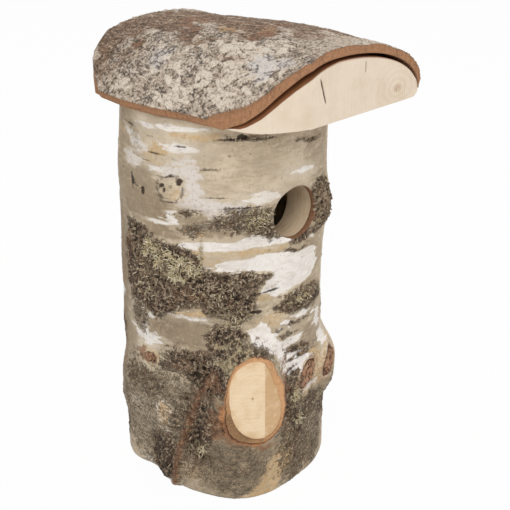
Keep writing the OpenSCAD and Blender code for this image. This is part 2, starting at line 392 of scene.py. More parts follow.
def cells(u, v, seed, around=None):
    """Distance to the nearest and next of scattered points, and a number for the nearest."""
    i, j = np.floor(u).astype(np.int64), np.floor(v).astype(np.int64)
    first = np.full(u.shape, 9.0)
    second = np.full(u.shape, 9.0)
    which = np.zeros(u.shape)
    for di in (-1, 0, 1):
        for dj in (-1, 0, 1):
            ci = i + di
            wrapped = np.mod(ci, around) if around else ci
            cj = j + dj
            px = ci + 0.12 + 0.76 * scatter(wrapped, cj, cj * 0, seed)
            py = cj + 0.12 + 0.76 * scatter(wrapped, cj, cj * 0 + 1, seed)
            apart = np.hypot(u - px, v - py)
            closer = apart < first
            second = np.where(closer, first, np.minimum(second, apart))
            which = np.where(closer, scatter(wrapped, cj, cj * 0 + 2, seed), which)
            first = np.where(closer, apart, first)
    return first, second, which


# ---------------------------------------------------------------- mesh making

def build_piece(name, points, faces, nodes=(), marks=None, material=None, sharp=None):
    """A mesh piece from points in millimetres, with float marks for its material."""
    mesh = bpy.data.meshes.new(name)
    held = np.clip(np.asarray(points, float) * MM, np.array(CAD_LOW), np.array(CAD_HIGH))
    mesh.from_pydata(held.tolist(), [], [list(map(int, f)) for f in faces])
    mesh.validate()
    for key, values in (marks or {}).items():
        layer = mesh.attributes.new(key, "FLOAT", "POINT")
        layer.data.foreach_set("value", np.asarray(values, np.float32))
    mesh.shade_smooth()
    if sharp:
        mesh.set_sharp_from_angle(angle=math.radians(sharp))
    mesh.materials.append(material)
    piece = bpy.data.objects.new(name, mesh)
    bpy.context.collection.objects.link(piece)
    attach(piece, "root")
    if nodes:
        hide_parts(*nodes)
    return piece


def grid_faces(rows, columns, start=0, closed=False, flip=False):
    """Quads of a grid of points, row by row."""
    j, i = np.meshgrid(np.arange(rows - 1), np.arange(columns if closed else columns - 1), indexing="ij")
    n = (i + 1) % columns
    a, b = start + j * columns + i, start + j * columns + n
    c, d = start + (j + 1) * columns + n, start + (j + 1) * columns + i
    quads = np.stack([a, b, c, d], -1).reshape(-1, 4)
    return quads[:, ::-1] if flip else quads


def band(first, second):
    """Quads between two closed loops with as many points each."""
    return np.stack([first, second, np.roll(second, -1), np.roll(first, -1)], -1)


def one_list(groups):
    """The faces of every group, in order."""
    return [face for group in groups for face in group]


def zip_loops(outer, inner, outer_turn, inner_turn):
    """Triangles between two closed loops of point numbers, each sorted by its turn."""
    faces = []
    i = j = 0
    n, m = len(outer), len(inner)
    while i < n or j < m:
        ahead_outer = outer_turn[(i + 1) % n] + 2 * math.pi * ((i + 1) // n)
        ahead_inner = inner_turn[(j + 1) % m] + 2 * math.pi * ((j + 1) // m)
        if j >= m or (i < n and ahead_outer <= ahead_inner):
            faces.append((outer[i % n], outer[(i + 1) % n], inner[j % m]))
            i += 1
        else:
            faces.append((outer[i % n], inner[(j + 1) % m], inner[j % m]))
            j += 1
    return faces


def loops_of(faces):
    """Closed loops of point numbers round the open edges of a set of faces."""
    ahead = {}
    used = set()
    for face in faces:
        for a, b in zip(face, np.roll(face, -1)):
            used.add((int(a), int(b)))
    for a, b in used:
        if (b, a) not in used:
            ahead[a] = b
    loops = []
    while ahead:
        start, here = ahead.popitem()
        loop = [start]
        while here != start:
            loop.append(here)
            here = ahead.pop(here)
        loops.append(loop)
    return loops


# ---------------------------------------------------------------- the log's shape and marks

def round_table(turn, points):
    """Distance from the stub's middle to a closed outline, in the direction of a turn."""
    u, v = np.array(points, float).T
    u, v = u - STUB_MIDDLE[0], v - STUB_MIDDLE[1]
    order = np.argsort(np.arctan2(v, u))
    turns, reach = np.arctan2(v, u)[order], np.hypot(u, v)[order]
    soft = [np.interp(np.mod(turn + off + math.pi, 2 * math.pi) - math.pi, turns, reach,
                      period=2 * math.pi) for off in (-0.13, -0.06, 0, 0.06, 0.13)]
    return sum(soft) / len(soft)


def wrap(a):
    return (a + 180) % 360 - 180


def log_shape(a, z):
    """Radius of the log, bark included, at an angle and a height."""
    found = LOG_RADIUS + LOBE_SIZE * np.sin(np.radians(3 * a + 40))
    for angle, height, wide, tall, size in SWELLINGS:
        found = found + size * np.exp(-((wrap(a) - angle) / wide) ** 2 - ((z - height) / tall) ** 4)
    return found


def on_log(a, z, out=0.0):
    """Points on the log in millimetres, or a way outside it."""
    r = log_shape(a, z) + out
    return np.stack([r * np.sin(np.radians(a)), -r * np.cos(np.radians(a)), z + 0 * a], -1)


def log_point(a, z, out):
    """One point on the log, from plain numbers."""
    return on_log(np.array([a]), np.array([z]), out)[0]


def full_mark(mark):
    """A mark's six numbers, where a fifth of nothing and a sixth of one may go unsaid."""
    return mark if len(mark) == 6 else (*mark[:4], 0, *mark[4:], 1)[:6]


def strokes(a, z, marks, rag, soft=1.4, blunt=2.1, halo=None):
    """How far each place lies inside any of a list of marks: angle, height, half angle,
    half height, lean in millimetres a degree, strength. With a halo, also a wider soft mask."""
    best, wide = np.zeros(a.shape), np.zeros(a.shape)
    for angle, height, half_angle, half_height, lean, strength in map(full_mark, marks):
        da = wrap(a - angle)
        near = np.abs(da) < 1.9 * half_angle + 8
        u = np.abs(da[near]) / (1.1 * half_angle)
        v = np.abs(z[near] - height - lean * da[near]) / half_height
        size = min(half_angle * DEGREE, half_height)
        inside = (1 - (u ** blunt + v ** blunt) ** (1 / blunt)) * size
        wander = rag[near] * min(3.0, 0.75 * size)
        held = unit(0.5 + (inside + wander) / min(soft, 0.9 * size + 0.3)) * strength
        best[near] = np.maximum(best[near], held)
        if halo:
            held = unit(0.8 + (inside + wander) / halo) * strength
            wide[near] = np.maximum(wide[near], held)
    return (best, wide) if halo else best


def outline_depth(a, z, outline):
    """Millimetres that each place lies inside an outline of angles and heights."""
    corners = [((angle - outline[0][0]) * DEGREE, height) for angle, height in outline]
    x = wrap(a - outline[0][0]) * DEGREE
    low, high = np.min(corners, axis=0) - 12, np.max(corners, axis=0) + 12
    near = (x > low[0]) & (x < high[0]) & (z > low[1]) & (z < high[1])
    px, pz = x[near], z[near]
    apart, within = np.full(px.shape, 99.0), np.zeros(px.shape, bool)
    for (x0, z0), (x1, z1) in zip(corners, corners[1:] + corners[:1]):
        dx, dz = x1 - x0, z1 - z0
        t = unit(((px - x0) * dx + (pz - z0) * dz) / (dx * dx + dz * dz))
        apart = np.minimum(apart, np.hypot(px - x0 - t * dx, pz - z0 - t * dz))
        if dz:
            within ^= ((z0 > pz) != (z1 > pz)) & (px < x0 + dx * (pz - z0) / dz)
    depth = np.full(a.shape, -99.0)
    depth[near] = np.where(within, apart, -apart)
    return depth


def patches(a, z, outlines, rag, soft, reach=3.0):
    """How far each place lies inside any of a list of outlines, from 0 to 1."""
    best = np.zeros(a.shape)
    for strength, outline in outlines:
        held = unit(0.5 + (outline_depth(a, z, outline) + rag * reach) / soft)
        best = np.maximum(best, held * strength)
    return best


# larger patches on the log: strength, then an outline of angles and heights
CRUST_PATCHES = (
    (1, ((-106, 174), (-100, 175), (-90, 174), (-86, 168), (-78, 168), (-70, 166), (-62, 164), (-56, 160),
     (-53, 152), (-43, 150), (-29, 150), (-19, 148), (-16, 148), (-23, 142), (-26, 138), (-27, 128),
     (-30, 122), (-36, 117), (-40, 119), (-45, 122), (-53, 124), (-56, 129), (-62, 130), (-70, 124),
     (-83, 116), (-92, 122), (-103, 122), (-108, 132), (-109, 156))),
    (0.62, ((-42, 192), (-32, 192), (-25, 192), (-19, 190), (-17, 186), (-16, 180), (-13, 173), (-13, 171),
     (-20, 174), (-29, 176), (-39, 178), (-41, 188))),
    (0.62, ((-36, 190), (-36, 178), (-52, 178), (-56, 174), (-59, 172), (-64, 174), (-67, 178), (-64, 181),
     (-56, 182), (-46, 186))),
    (0.9, ((-16, 124), (-7, 130), (4, 133), (14, 130), (24, 127), (25, 118), (11, 118), (4, 118), (-4, 118),
     (-12, 121))))
WHITE_PATCHES = (
    (1, ((-70, 166), (-66, 169), (-59, 170), (-48, 170), (-39, 170), (-34, 172), (-26, 174), (-19, 172),
     (-12, 170), (-2, 168), (6, 166), (13, 165), (15, 162), (3, 164), (-8, 166), (-19, 166), (-26, 166),
     (-35, 165), (-44, 164), (-54, 165), (-62, 165.5))),
    (1, ((-55, 151.6), (-49, 153), (-44, 158), (-40, 159), (-34, 159), (-27, 160), (-21, 162), (-16, 161),
     (-10, 160), (0, 158), (12, 156), (18, 150), (18, 144), (12, 138), (6, 136), (-1, 136), (-9, 134),
     (-16, 132), (-20, 136), (-25, 136), (-22, 141), (-18, 146), (-16, 149), (-20, 150), (-30, 151),
     (-38, 151), (-46, 151))),
    (1, ((-32, 113), (-23, 118), (-21, 116), (-20, 112), (-13, 108), (-16, 106), (-13, 102), (-2, 102),
     (4, 102), (4, 100), (-5, 98), (-9, 98), (-1, 93), (6, 88), (10, 84), (5, 83), (2, 78), (-2, 72),
     (-4, 70), (-7, 78), (-11, 78), (-14, 82), (-16, 90), (-20, 98), (-25, 102), (-30, 107))),
    (0.9, ((-76, 241), (-70, 241), (-60, 240), (-46, 239), (-48, 238), (-56, 237.4), (-67, 236), (-74, 236),
     (-81, 238))),
    (0.9, ((-91, 180), (-81, 180), (-75, 180), (-74, 188), (-70, 189), (-69, 180), (-78, 178), (-88, 178))))
VEIL_PATCHES = (
    (0.9, ((-87, 55), (-80, 61), (-72, 49), (-79, 37), (-86, 43))),
    (1, ((-84, 211), (-70, 219), (-60, 224), (-58, 216), (-56, 206), (-54, 198), (-42, 196), (-30, 195),
     (-30, 189), (-44, 189), (-50, 186), (-54, 189), (-66, 191), (-70, 193), (-66, 196), (-64, 205),
     (-65, 210), (-74, 211))),
    (0.9, ((-109, 232), (-101, 232), (-97, 228), (-90, 230), (-88, 220), (-91, 218), (-94, 222),
     (-100, 222), (-105, 228))),
    (0.8, ((-108, 218), (-96, 220), (-92, 216), (-93, 211), (-100, 209), (-106, 212))))
DRAB_PATCHES = (
    (1, ((-110, 187), (-86, 193), (-77, 195), (-74, 190), (-75, 180), (-81, 180), (-91, 180), (-106, 178))),
    (0.7, ((-108, 206), (-98, 210), (-88, 212), (-80, 210), (-78, 196), (-92, 194), (-108, 192))))
OCHRE_PATCHES = (
    (1, ((-86, 54), (-80, 60), (-73, 49), (-79, 38), (-85, 44))),
    (1, ((-74, 234), (-65, 236), (-56, 236), (-46, 236), (-46, 232), (-52, 232), (-60, 231.6), (-70, 232))),
    (1, ((-88, 224), (-81, 228), (-73, 228), (-70, 224), (-75, 220), (-83, 219.5), (-88, 220))),
    (1, ((-8, 44), (-6, 30), (-7, 16), (-18, -2), (-38, -2), (-29, 10), (-24, 24), (-16, 34))))

# marks on the log: angle, height, half angle, half height, lean, strength
ROUGH_MARKS = (
    (-43, 107, 9.5, 10, 0.95), (-33, 102, 7, 4, -0.2, 1), (-65, 187, 6, 1.7, 0.66),
    (-18, 176, 5, 5, -0.3, 0.9), (19, 183, 11, 15), (6, 166, 10, 2.6, 0.1, 0.9), (-1, 159.5, 8, 1.1, 0.8),
    (-3.5, 111, 8, 1.5, 0.13, 0.9), (-8, 105, 7, 1.3, -0.14, 0.8), (0.5, 94, 10, 1.9, -0.19, 0.9),
    (2, 89, 8, 2.1, -0.12, 0.9), (-4.5, 77, 3, 5), (-53, 86, 11, 13), (-68, 92, 8, 7, 0.85),
    (-77, 84, 8, 4, 0.7), (-98, 42, 20, 44, 0.3), (-76, 44, 18, 44, 0.32), (-97, 68, 18, 10, 0.5),
    (-50, 57, 5, 11, 0.9), (-58, 48, 7, 22, -0.2, 0.95), (-70, 50, 6, 14, 0.6), (-85, 15, 13, 16, 0.1, 1),
    (-78, 30, 6, 6, 0.9), (-107, 30, 11, 22, 0.25), (-42, 22, 18, 20, 0.3), (-3, 30, 14, 30, 0.5),
    (-6, 58, 7, 10, 0.85), (-6, 73, 5, 9, 0.8), (14, 48, 9, 12, 0.6), (17, 20, 12, 18, 0.45),
    (30, 42, 9, 15, 0.7), (-97, 112, 7, 9, 0.62), (-30, 233.5, 10, 1.4, 0.6), (9, 226, 9, 1.3, -0.05, 0.55),
    # round the far side
    (75, 196, 17, 6, 0.05, 0.95), (64, 142, 21, 10), (100, 150, 16, 13), (128, 184, 20, 5, 0.9),
    (150, 128, 24, 12, 0.05, 1), (118, 84, 16, 9, 0.9), (72, 84, 14, 8, 0.8), (60, 36, 22, 22, 0.7),
    (100, 24, 22, 20, 0.8), (145, 34, 24, 24, 0.85), (-165, 60, 20, 16, 0.9), (-140, 26, 18, 22, 0.7),
    (-170, 168, 17, 9, 0.9), (-148, 148, 14, 17, 0.95), (-145, 214, 12, 3, 0.7), (170, 212, 16, 4, 0.8),
    (95, 224, 13, 2.4, 0.7), (-128, 92, 12, 9, 0.7), (175, 100, 12, 5, 0.7), (44, 108, 12, 5, 0.6))
WHITE_MARKS = (
    (-9, 111, 2.4, 3.4), (3, 115.5, 4, 2.6, 0.2, 1), (18, 106, 4, 7, -0.5, 0.9), (24, 92, 5, 3, 0.8),
    (27, 87, 7, 3, 0.7), (-62, 120.3, 9, 1.1), (-87, 117, 6, 2.4, 0.25, 0.85),
    (-88, 99.5, 9, 3.8, 0.25, 0.95), (-101, 115, 4, 4, 0.75), (-101, 100, 4, 5, 0.7), (-92, 106, 3, 4, 0.8),
    (-67, 226.5, 10, 3.4, 0.05, 0.62), (5, 208, 8, 1.9, -0.1, 0.85), (-24, 197, 9, 4, 0.6),
    (-79, 36.5, 5, 2, 0.3, 0.7), (-95, 2.5, 9, 2.6, 0.8), (-77, 2, 4, 3, 0.8), (-106, 48, 4, 3, 0.4, 0.6),
    (-93, 214, 6, 3, 0.6), (-82, 212, 9, 2, 0.6), (-88, 236, 6, 2, 0.7), (9, 63, 6, 2, 0.2, 0.7),
    # round the far side
    (84, 178, 22, 5, 0.05, 0.95), (60, 166, 14, 7, -0.1, 0.95), (110, 206, 24, 6, 0.8),
    (135, 166, 20, 6, 0.08, 1), (96, 116, 20, 7, -0.06, 0.95), (150, 104, 14, 4, 0.95), (-160, 118, 18, 6),
    (-145, 186, 20, 5, 0.9), (-175, 192, 16, 4, 0.85), (175, 76, 15, 6, 0.1, 0.9), (62, 212, 14, 4, 0.7),
    (-126, 118, 8, 4, 0.1, 0.85), (50, 64, 9, 7, 0.9), (130, 60, 14, 4, 0.85), (-150, 90, 10, 4, 0.8),
    (160, 232, 24, 4, 0.6), (-155, 234, 18, 3, 0.6), (40, 150, 8, 9, -0.2, 0.8))
OCHRE_MARKS = (
    (16, 73, 4.5, 10, 0.4, 0.7), (10, 62, 7, 2.4, 0.5, 0.7), (-113, 227, 7, 2, 0.7),
    (-84, 217, 5, 2.4, 0.6), (-55.6, 163, 2.2, 12, 0.85), (-30, 163.4, 22, 2.0, 0.75),
    (-47, 157, 5, 2.2, 0.6), (-62, 123.2, 9, 1.6, 0.85), (-21, 133, 5.5, 4, 0.65),
    (-15, 118, 11, 4.5, 0.55), (-42, 94, 4, 5, 0.75), (-10, 150, 2, 14, 0.2), (10, 163, 9, 2, 0.55),
    (-68, 199, 5, 4.5, 0.5), (-12, 40, 3, 9, 0.5), (4, 54, 6, 5, 0.45), (-83, 44, 6, 6, 0.3, 0.45),
    (-62, 15, 6, 9, 0.4), (-52, 12, 5, 6, 0.35), (90, 234, 16, 3, 0.9), (140, 224, 14, 2.5, 0.8),
    (-150, 226, 12, 2.5, 0.8), (70, 124, 18, 2.5, 0.7), (120, 132, 14, 3, 0.7), (-170, 140, 14, 3, 0.7),
    (160, 56, 12, 4, 0.6), (80, 56, 12, 4, 0.6), (-140, 60, 8, 6, 0.5))
RUST_MARKS = (
    (-94, 88, 4.2, 4.8, 0.95), (-72, 86.5, 4.5, 2.4, 0.6), (-60, 136, 7.5, 4.2, 0.1, 0.6),
    (-106, 156, 5, 10, 0.45), (-119, 120, 5, 60, 0.4), (-49, 80, 4, 12, 0.45),
    (-47.5, 52, 4.4, 11, 0.1, 0.85), (-13.5, 72, 3.4, 20, 0.85), (-11.5, 48, 4, 9, 0.6),
    (-58, 176, 8, 3, 0.4), (5, 10, 10, 12, 0.35), (20, 186, 6, 9, 0.35), (12, 72, 16, 11, 0.35),
    (-30, 40, 9, 2.2, -0.35, 0.8), (-62, 20, 8, 14, 0.35), (-2, 22, 5, 16, 0.4), (10, 128, 8, 4, 0.4),
    (12, 178, 3, 8, 0.5), (70, 146, 8, 5, 0.5), (110, 34, 8, 12, 0.5), (150, 130, 9, 5, 0.5),
    (-165, 62, 8, 7, 0.5))
OLIVE_MARKS = (
    (-66, 110, 20, 10), (-78, 174, 12, 3.6, 0.9), (-49, 176, 9, 4.5, 0.7), (-40, 24, 19, 22, 0.85),
    (-110, 92, 10, 16, 0.7), (14, 148, 12, 36, 0.5), (12, 95, 12, 13, 0.65), (8, 44, 12, 13, 0.7),
    (-106, 208, 15, 36, 0.7), (-92, 192, 16, 13, 0.85), (-102, 209, 8, 8, 0.7), (-75, 194, 8, 6, 0.5),
    (-120, 130, 10, 70, 0.9), (18, 224, 14, 16, 0.5), (-112, 60, 10, 20, 0.6), (-85, 62, 12, 16, 0.5),
    (26, 206, 12, 12, 0.5), (-30, 209, 20, 16, 0.16), (80, 104, 16, 14, 0.7), (130, 110, 14, 12, 0.6),
    (-150, 70, 16, 18, 0.7), (120, 214, 24, 14, 0.5), (-160, 206, 20, 16, 0.6), (50, 190, 16, 20, 0.5))
DARK_MARKS = (
    (-52, 215.3, 5.2, 0.75, 0.03, 0.8), (-65, 228, 3.6, 0.7, 0.8), (-48, 198.2, 8, 0.65, 0.7),
    (-82, 221.4, 5.5, 0.7, 0.75), (-87, 215.8, 4, 0.6, 0.6), (-35, 223.6, 7, 0.55, 0.55),
    (-1, 228, 4, 0.7, -0.1, 0.55), (8, 226, 8, 0.6, -0.05, 0.45), (-99.5, 200.5, 1.8, 4.2, -0.5, 1),
    (-95, 198.4, 4.5, 0.5, -0.35, 0.8), (-72.5, 209, 5, 0.7, 0.25, 0.8), (-72, 193.5, 5.5, 0.9, 0.1, 0.75),
    (-77, 196.5, 1.4, 1.6, 0.6), (-71.5, 203, 1.2, 1.6, 0.5), (-90, 197, 1.1, 2.2, -0.4, 1),
    (-77, 202.8, 1.1, 1.5, 0.5, 0.9), (-75.8, 200, 0.9, 1.8, -0.4, 0.8), (-66.4, 206.3, 1.7, 2.1),
    (-109, 205, 2, 1.1, 0.8), (-84, 231, 3.4, 0.6, 0.6), (-70, 219.6, 5, 0.45, 0.5), (-34, 234.5, 2.3, 1.7),
    (-41, 233.2, 6, 0.9, 0.85), (-22, 232.6, 11, 0.6, 0.6), (-78, 208.5, 3, 0.6, 0.1, 0.7),
    (-75, 195.5, 3.4, 0.7, -0.15, 0.6), (-104, 234, 5.5, 0.8, 0.7), (-30, 191.6, 10, 0.5, 0.8),
    (-26, 124.5, 3.4, 1.3, 0.95), (-20, 136.5, 6, 0.8, 0.08, 0.95), (-15, 230, 2, 0.5, 0.5),
    (-60, 190.2, 6, 0.6, 0.6), (-47, 186.2, 8, 0.5, 0.5), (-45, 148.6, 13, 0.8, 0.6),
    (-96, 226, 3, 3.4, 0.3, 0.35), (-100, 228, 3, 4, 0.35), (-86, 15, 11, 14, 0.5),
    (-58, 40, 2, 12, -0.4, 0.5), (-44.6, 58, 1.0, 12, 0.9), (-56, 84, 3, 9, 0.55), (-8, 80, 2, 3, 0.6),
    (3, 75, 1.5, 3, 0.4), (68, 186, 6, 0.8, 0.7), (120, 218, 7, 0.8, 0.7), (-170, 222, 6, 0.8, 0.7),
    (150, 200, 3, 2.6, 0.9), (96, 196, 2.4, 2, 0.9), (-140, 168, 7, 0.8, 0.6))
RIDGE_PATH = ((-49, 86), (-57, 72), (-60, 61), (-64, 47), (-69, 31), (-72, 16), (-74, 0))
FURROW_MARKS = (
    (-52, 80, 10, 20), (-60, 40, 10, 28, -0.2, 0.9), (-14, 66, 5, 22, 0.7), (-5, 24, 18, 26, 0.5),
    (-40, 20, 18, 20, 0.4), (60, 40, 30, 40, 0.5), (150, 34, 30, 30, 0.5))
SOIL_MARKS = (
    (-48, 60, 12, 26, 0.9), (-98, 38, 19, 44, 0.62), (-72, 40, 20, 44, 0.75), (-40, 20, 24, 24, 0.9),
    (-6, 34, 18, 42, 0.8), (16, 34, 18, 38, 0.7), (-58, 98, 14, 8, 0.5), (-66, 110, 16, 8, 0.32),
    (-60, 133, 46, 20, 0.55), (-106, 150, 16, 34, 0.6), (-26, 184, 18, 9, 0.5), (-54, 182, 22, 7, 0.62),
    (-80, 134, 20, 34, 0.5), (4, 126, 16, 8, 0.5), (-12, 70, 10, 30, 0.7), (-97, 214, 12, 20, 0.35),
    (-118, 110, 12, 24, 0.4), (60, 40, 30, 40, 0.75), (110, 36, 34, 38, 0.7), (160, 46, 34, 46, 0.8),
    (-140, 42, 30, 44, 0.75), (70, 142, 30, 14, 0.5), (140, 134, 30, 16, 0.55), (-140, 150, 24, 22, 0.5),
    (180, 170, 20, 12, 0.4))
EYES = ((-76.6, 202, 1.5, 2.4), (-66.4, 206.3, 1.6, 2.0), (-100, 200.5, 2.6, 2.8),
        (-90, 197.4, 1.5, 1.8), (-34, 234.5, 2.4, 1.8), (150, 200, 3, 2.6), (96, 196, 2.4, 2))
MOSS_MARKS = (
    (22, 50, 6, 10, 0.6), (10, 30, 5, 9, 0.4), (-80, 157, 10, 8, 0.36), (-68, 154, 10, 7, 0.4),
    (-72, 147, 8, 4, 0.45), (-42, 95, 4, 4.6), (-19, 92, 3.4, 4.4), (-4, 60, 3.6, 5, 0.9),
    (-25, 184, 8, 8, 0.6), (-40, 122, 14, 6, 0.36), (-21, 131, 6, 5, 0.95), (20, 184, 9, 14, 0.3),
    (8, 127, 14, 5, 0.42), (-36, 104, 10, 5, 0.4), (-56, 33, 4, 5, 0.7), (130, 132, 14, 6, 0.7),
    (-150, 140, 10, 8, 0.6), (84, 148, 10, 7, 0.6))


def small_marks(count, seed):
    """Short level lenticels scattered over the smooth bark."""
    pick = np.random.default_rng(seed)
    return [(pick.uniform(-180, 180), pick.uniform(4, LOG_HEIGHT - 4), pick.uniform(0.8, 3.6),
             pick.uniform(0.28, 0.5), pick.uniform(-0.04, 0.04), pick.uniform(0.3, 0.7))
            for _ in range(count)]


def along_path(a, z, path):
    """Distance in millimetres from a path of angles and heights."""
    best = np.full(a.shape, 99.0)
    for (a0, z0), (a1, z1) in zip(path, path[1:]):
        dx, dz = (a1 - a0) * 1.2, z1 - z0
        x, y = wrap(a - a0) * 1.2, z - z0
        t = unit((x * dx + y * dz) / (dx * dx + dz * dz))
        best = np.minimum(best, np.hypot(x - t * dx, y - t * dz))
    return best


def bark_marks(a, z):
    """The fields that colour and raise the log's bark, each from 0 to 1, and its relief."""
    x, y, _ = np.moveaxis(on_log(a, z), -1, 0)
    streaky = rough_noise(x / 13, y / 13, z / 1.7, 4, 11)
    ragged = rough_noise(x / 3.4, y / 3.4, z / 2.6, 4, 23)
    # places are pushed about before the marks are laid, so that no outline stays smooth
    push_a = 3.4 * rough_noise(x / 9, y / 9, z / 2.2, 3, 201) + 1.2 * ragged
    push_z = 2.4 * rough_noise(x / 9, y / 9, z / 8, 4, 202)
    far = unit((np.abs(wrap(a - SHOWN_ANGLE)) - 84) / 14)
    push_a = push_a + far * 20 * rough_noise(x / 26, y / 26, z / 15, 4, 205)
    push_z = push_z + far * 9 * rough_noise(x / 22, y / 22, z / 12, 4, 206)
    a1, z1 = a + push_a, z + push_z
    rough, stain = strokes(a1, z1, ROUGH_MARKS, streaky * 0.6 + ragged * 0.8, soft=5, halo=9)
    close_a, close_z = a + 0.5 * push_a, z + 0.5 * push_z
    crusted = patches(close_a, close_z, CRUST_PATCHES, streaky * 0.5 + ragged * 0.5, 4.5, 2.2)
    rough = np.maximum(rough, crusted)
    stain = np.maximum(stain, patches(a1, z1, CRUST_PATCHES, streaky * 0.6 + ragged * 0.6, 12))
    a2, z2 = a + (1.5 - 0.4 * far) * push_a, z + (0.5 + 0.3 * far) * push_z
    white, haze = strokes(a2, z2, WHITE_MARKS, streaky * 0.6 + ragged * 0.3, soft=2.0, halo=8)
    papery = patches(a + 0.8 * push_a, z + 0.3 * push_z, WHITE_PATCHES, streaky, 2.2, 1.0)
    white = np.maximum(white, papery)
    white = white * (1 - 0.85 * rough)
    veil = patches(a2, z2, VEIL_PATCHES, streaky, 5, 1.4)
    drab = patches(a1, z2, DRAB_PATCHES, streaky, 4, 1.4)
    ochre = strokes(a2, z1, OCHRE_MARKS, streaky * 1.0, soft=3.0)
    ochre = np.maximum(ochre, patches(a2, z2, OCHRE_PATCHES, streaky, 4, 1.6)) * (1 - 0.6 * white)
    rust = strokes(a1, z1, RUST_MARKS, ragged * 0.9, soft=3.0)
    olive = strokes(a1, z1, OLIVE_MARKS, ragged * 0.8 + streaky * 0.6, soft=7)
    olive = np.maximum(olive * (1 - 0.9 * veil), drab)
    soil = strokes(a1, z1, SOIL_MARKS, ragged * 1.2 + streaky * 0.4, soft=10)
    soil = soil * (1 - 0.8 * white) * (1 - 0.75 * ochre) * (1 - 0.9 * veil)
    ridge = along_path(a, z, RIDGE_PATH) + 0.8 * ragged
    spine = hill(ridge, 3.0)
    rust = np.maximum(rust, 0.95 * hill(ridge, 3.4))
    dark = strokes(a, z, DARK_MARKS, ragged * 0.8, soft=0.9)
    faint = strokes(a, z, small_marks(80, 5), streaky * 0.4, soft=1.0) * 0.5
    dark = np.maximum(dark, faint * (1 - rough) * (1 - 0.8 * white))
    rim = np.hypot((a + 72) / 7.4, (z - 202) / 8.2)
    dark = np.maximum(dark, 0.62 * hill(rim - 1, 0.17) * (ragged > -0.1))
    moss = strokes(a, z, MOSS_MARKS, ragged, soft=4)
    furrow = strokes(a, z, FURROW_MARKS, ragged * 0.3, soft=6)

    # crust: rounded lumps between sharp fissures, with smaller crumbs on them
    bend = 0.5 * rough_noise(x / 8, y / 8, z / 8, 2, 31)
    first, second, pick = cells(a / 3 + 0.6 * bend, z / 3.2 + 0.7 * ragged, 45, 120)
    lumps = unit((second - first) / 0.5) ** 0.8 * (0.4 + 0.6 * pick)
    crumbs = np.clip(0.5 + 0.8 * rough_noise(x / 2.7, y / 2.7, z / 2.3, 3, 43), 0, 1.1)
    grains = rough_noise(x / 1.25, y / 1.25, z / 1.25, 2, 47)
    crust = 0.65 * lumps + 0.5 * crumbs + 0.3 * grains - 0.45
    lines = 1 - np.minimum(1, 2.4 * np.abs(rough_noise(x / 3.4, y / 3.4, z / 19, 3, 61)))

    relief = 0.55 * rough_noise(x / 28, y / 28, z / 34, 3, 3)
    relief = relief + 0.13 * rough_noise(x / 9, y / 9, z / 1.6, 3, 7) * (1 - rough)
    relief = relief + rough * (crust * 1.25 + 0.25) + 0.45 * soil * (1 - rough) * crust
    relief = relief - 0.3 * white + 0.15 * unit(dark) * (1 - rough)
    relief = relief + 1.8 * spine - 0.9 * hill(ridge - 6.4, 2.4) * (z < 96)
    relief = relief - 1.5 * furrow * lines
    eyes = sum(np.exp(-((wrap(a - angle) / wide) ** 2) - ((z - height) / tall) ** 2)
               for angle, height, wide, tall in EYES)
    relief = relief - 1.2 * np.minimum(1, eyes)
    relief = relief + 0.8 * hill(rim - 1, 0.2) + 0.35 * (rim < 1) * crumbs
    relief = relief + 1.1 * np.exp(-((a + 94) / 4.5) ** 2 - ((z - 88) / 5) ** 2) * (1 + 0.4 * crumbs)
    # the tone mark follows the crust's lumps and crumbs, so the finish paints the crust darker, as shade,
    # where it lies low
    tone = unit(0.1 + 0.5 * lumps + 0.4 * crumbs + 0.2 * grains)
    relief = np.clip(relief, -2.6, 2.6)
    for angle, height, half_width, half_height in KNOTS.values():
        here = np.abs(wrap(a - angle)) < 30
        knot_u = log_shape(a, z) * np.sin(np.radians(wrap(a - angle)))
        knot_u = knot_u - KNOT_LEAN * (z - height) * (angle > 0)
        reach = np.hypot(knot_u / half_width, (z - height) / half_height)
        relief = relief + 0.9 * hill(reach - 1.05, 0.22) * here
        relief = np.where((reach < 0.9) & here, -1.8, relief)
        rust = np.maximum(rust, 0.5 * hill(reach - 1.06, 0.1) * here)
        ochre = np.maximum(ochre, 0.9 * hill(reach - 1.26, 0.14) * here)
        rough = rough * (1 - 0.8 * hill(reach - 1.2, 0.2) * here)
    relief, rust, rough, ledge = stub_collar(a, z, relief, rust, rough, crust)
    marks = {"rough": rough, "white": white, "ochre": ochre, "rust": rust, "olive": olive, "dark": dark,
             "moss": moss, "tone": tone, "soil": soil, "stain": stain, "haze": haze, "veil": veil,
             "ledge": ledge}
    return marks, relief


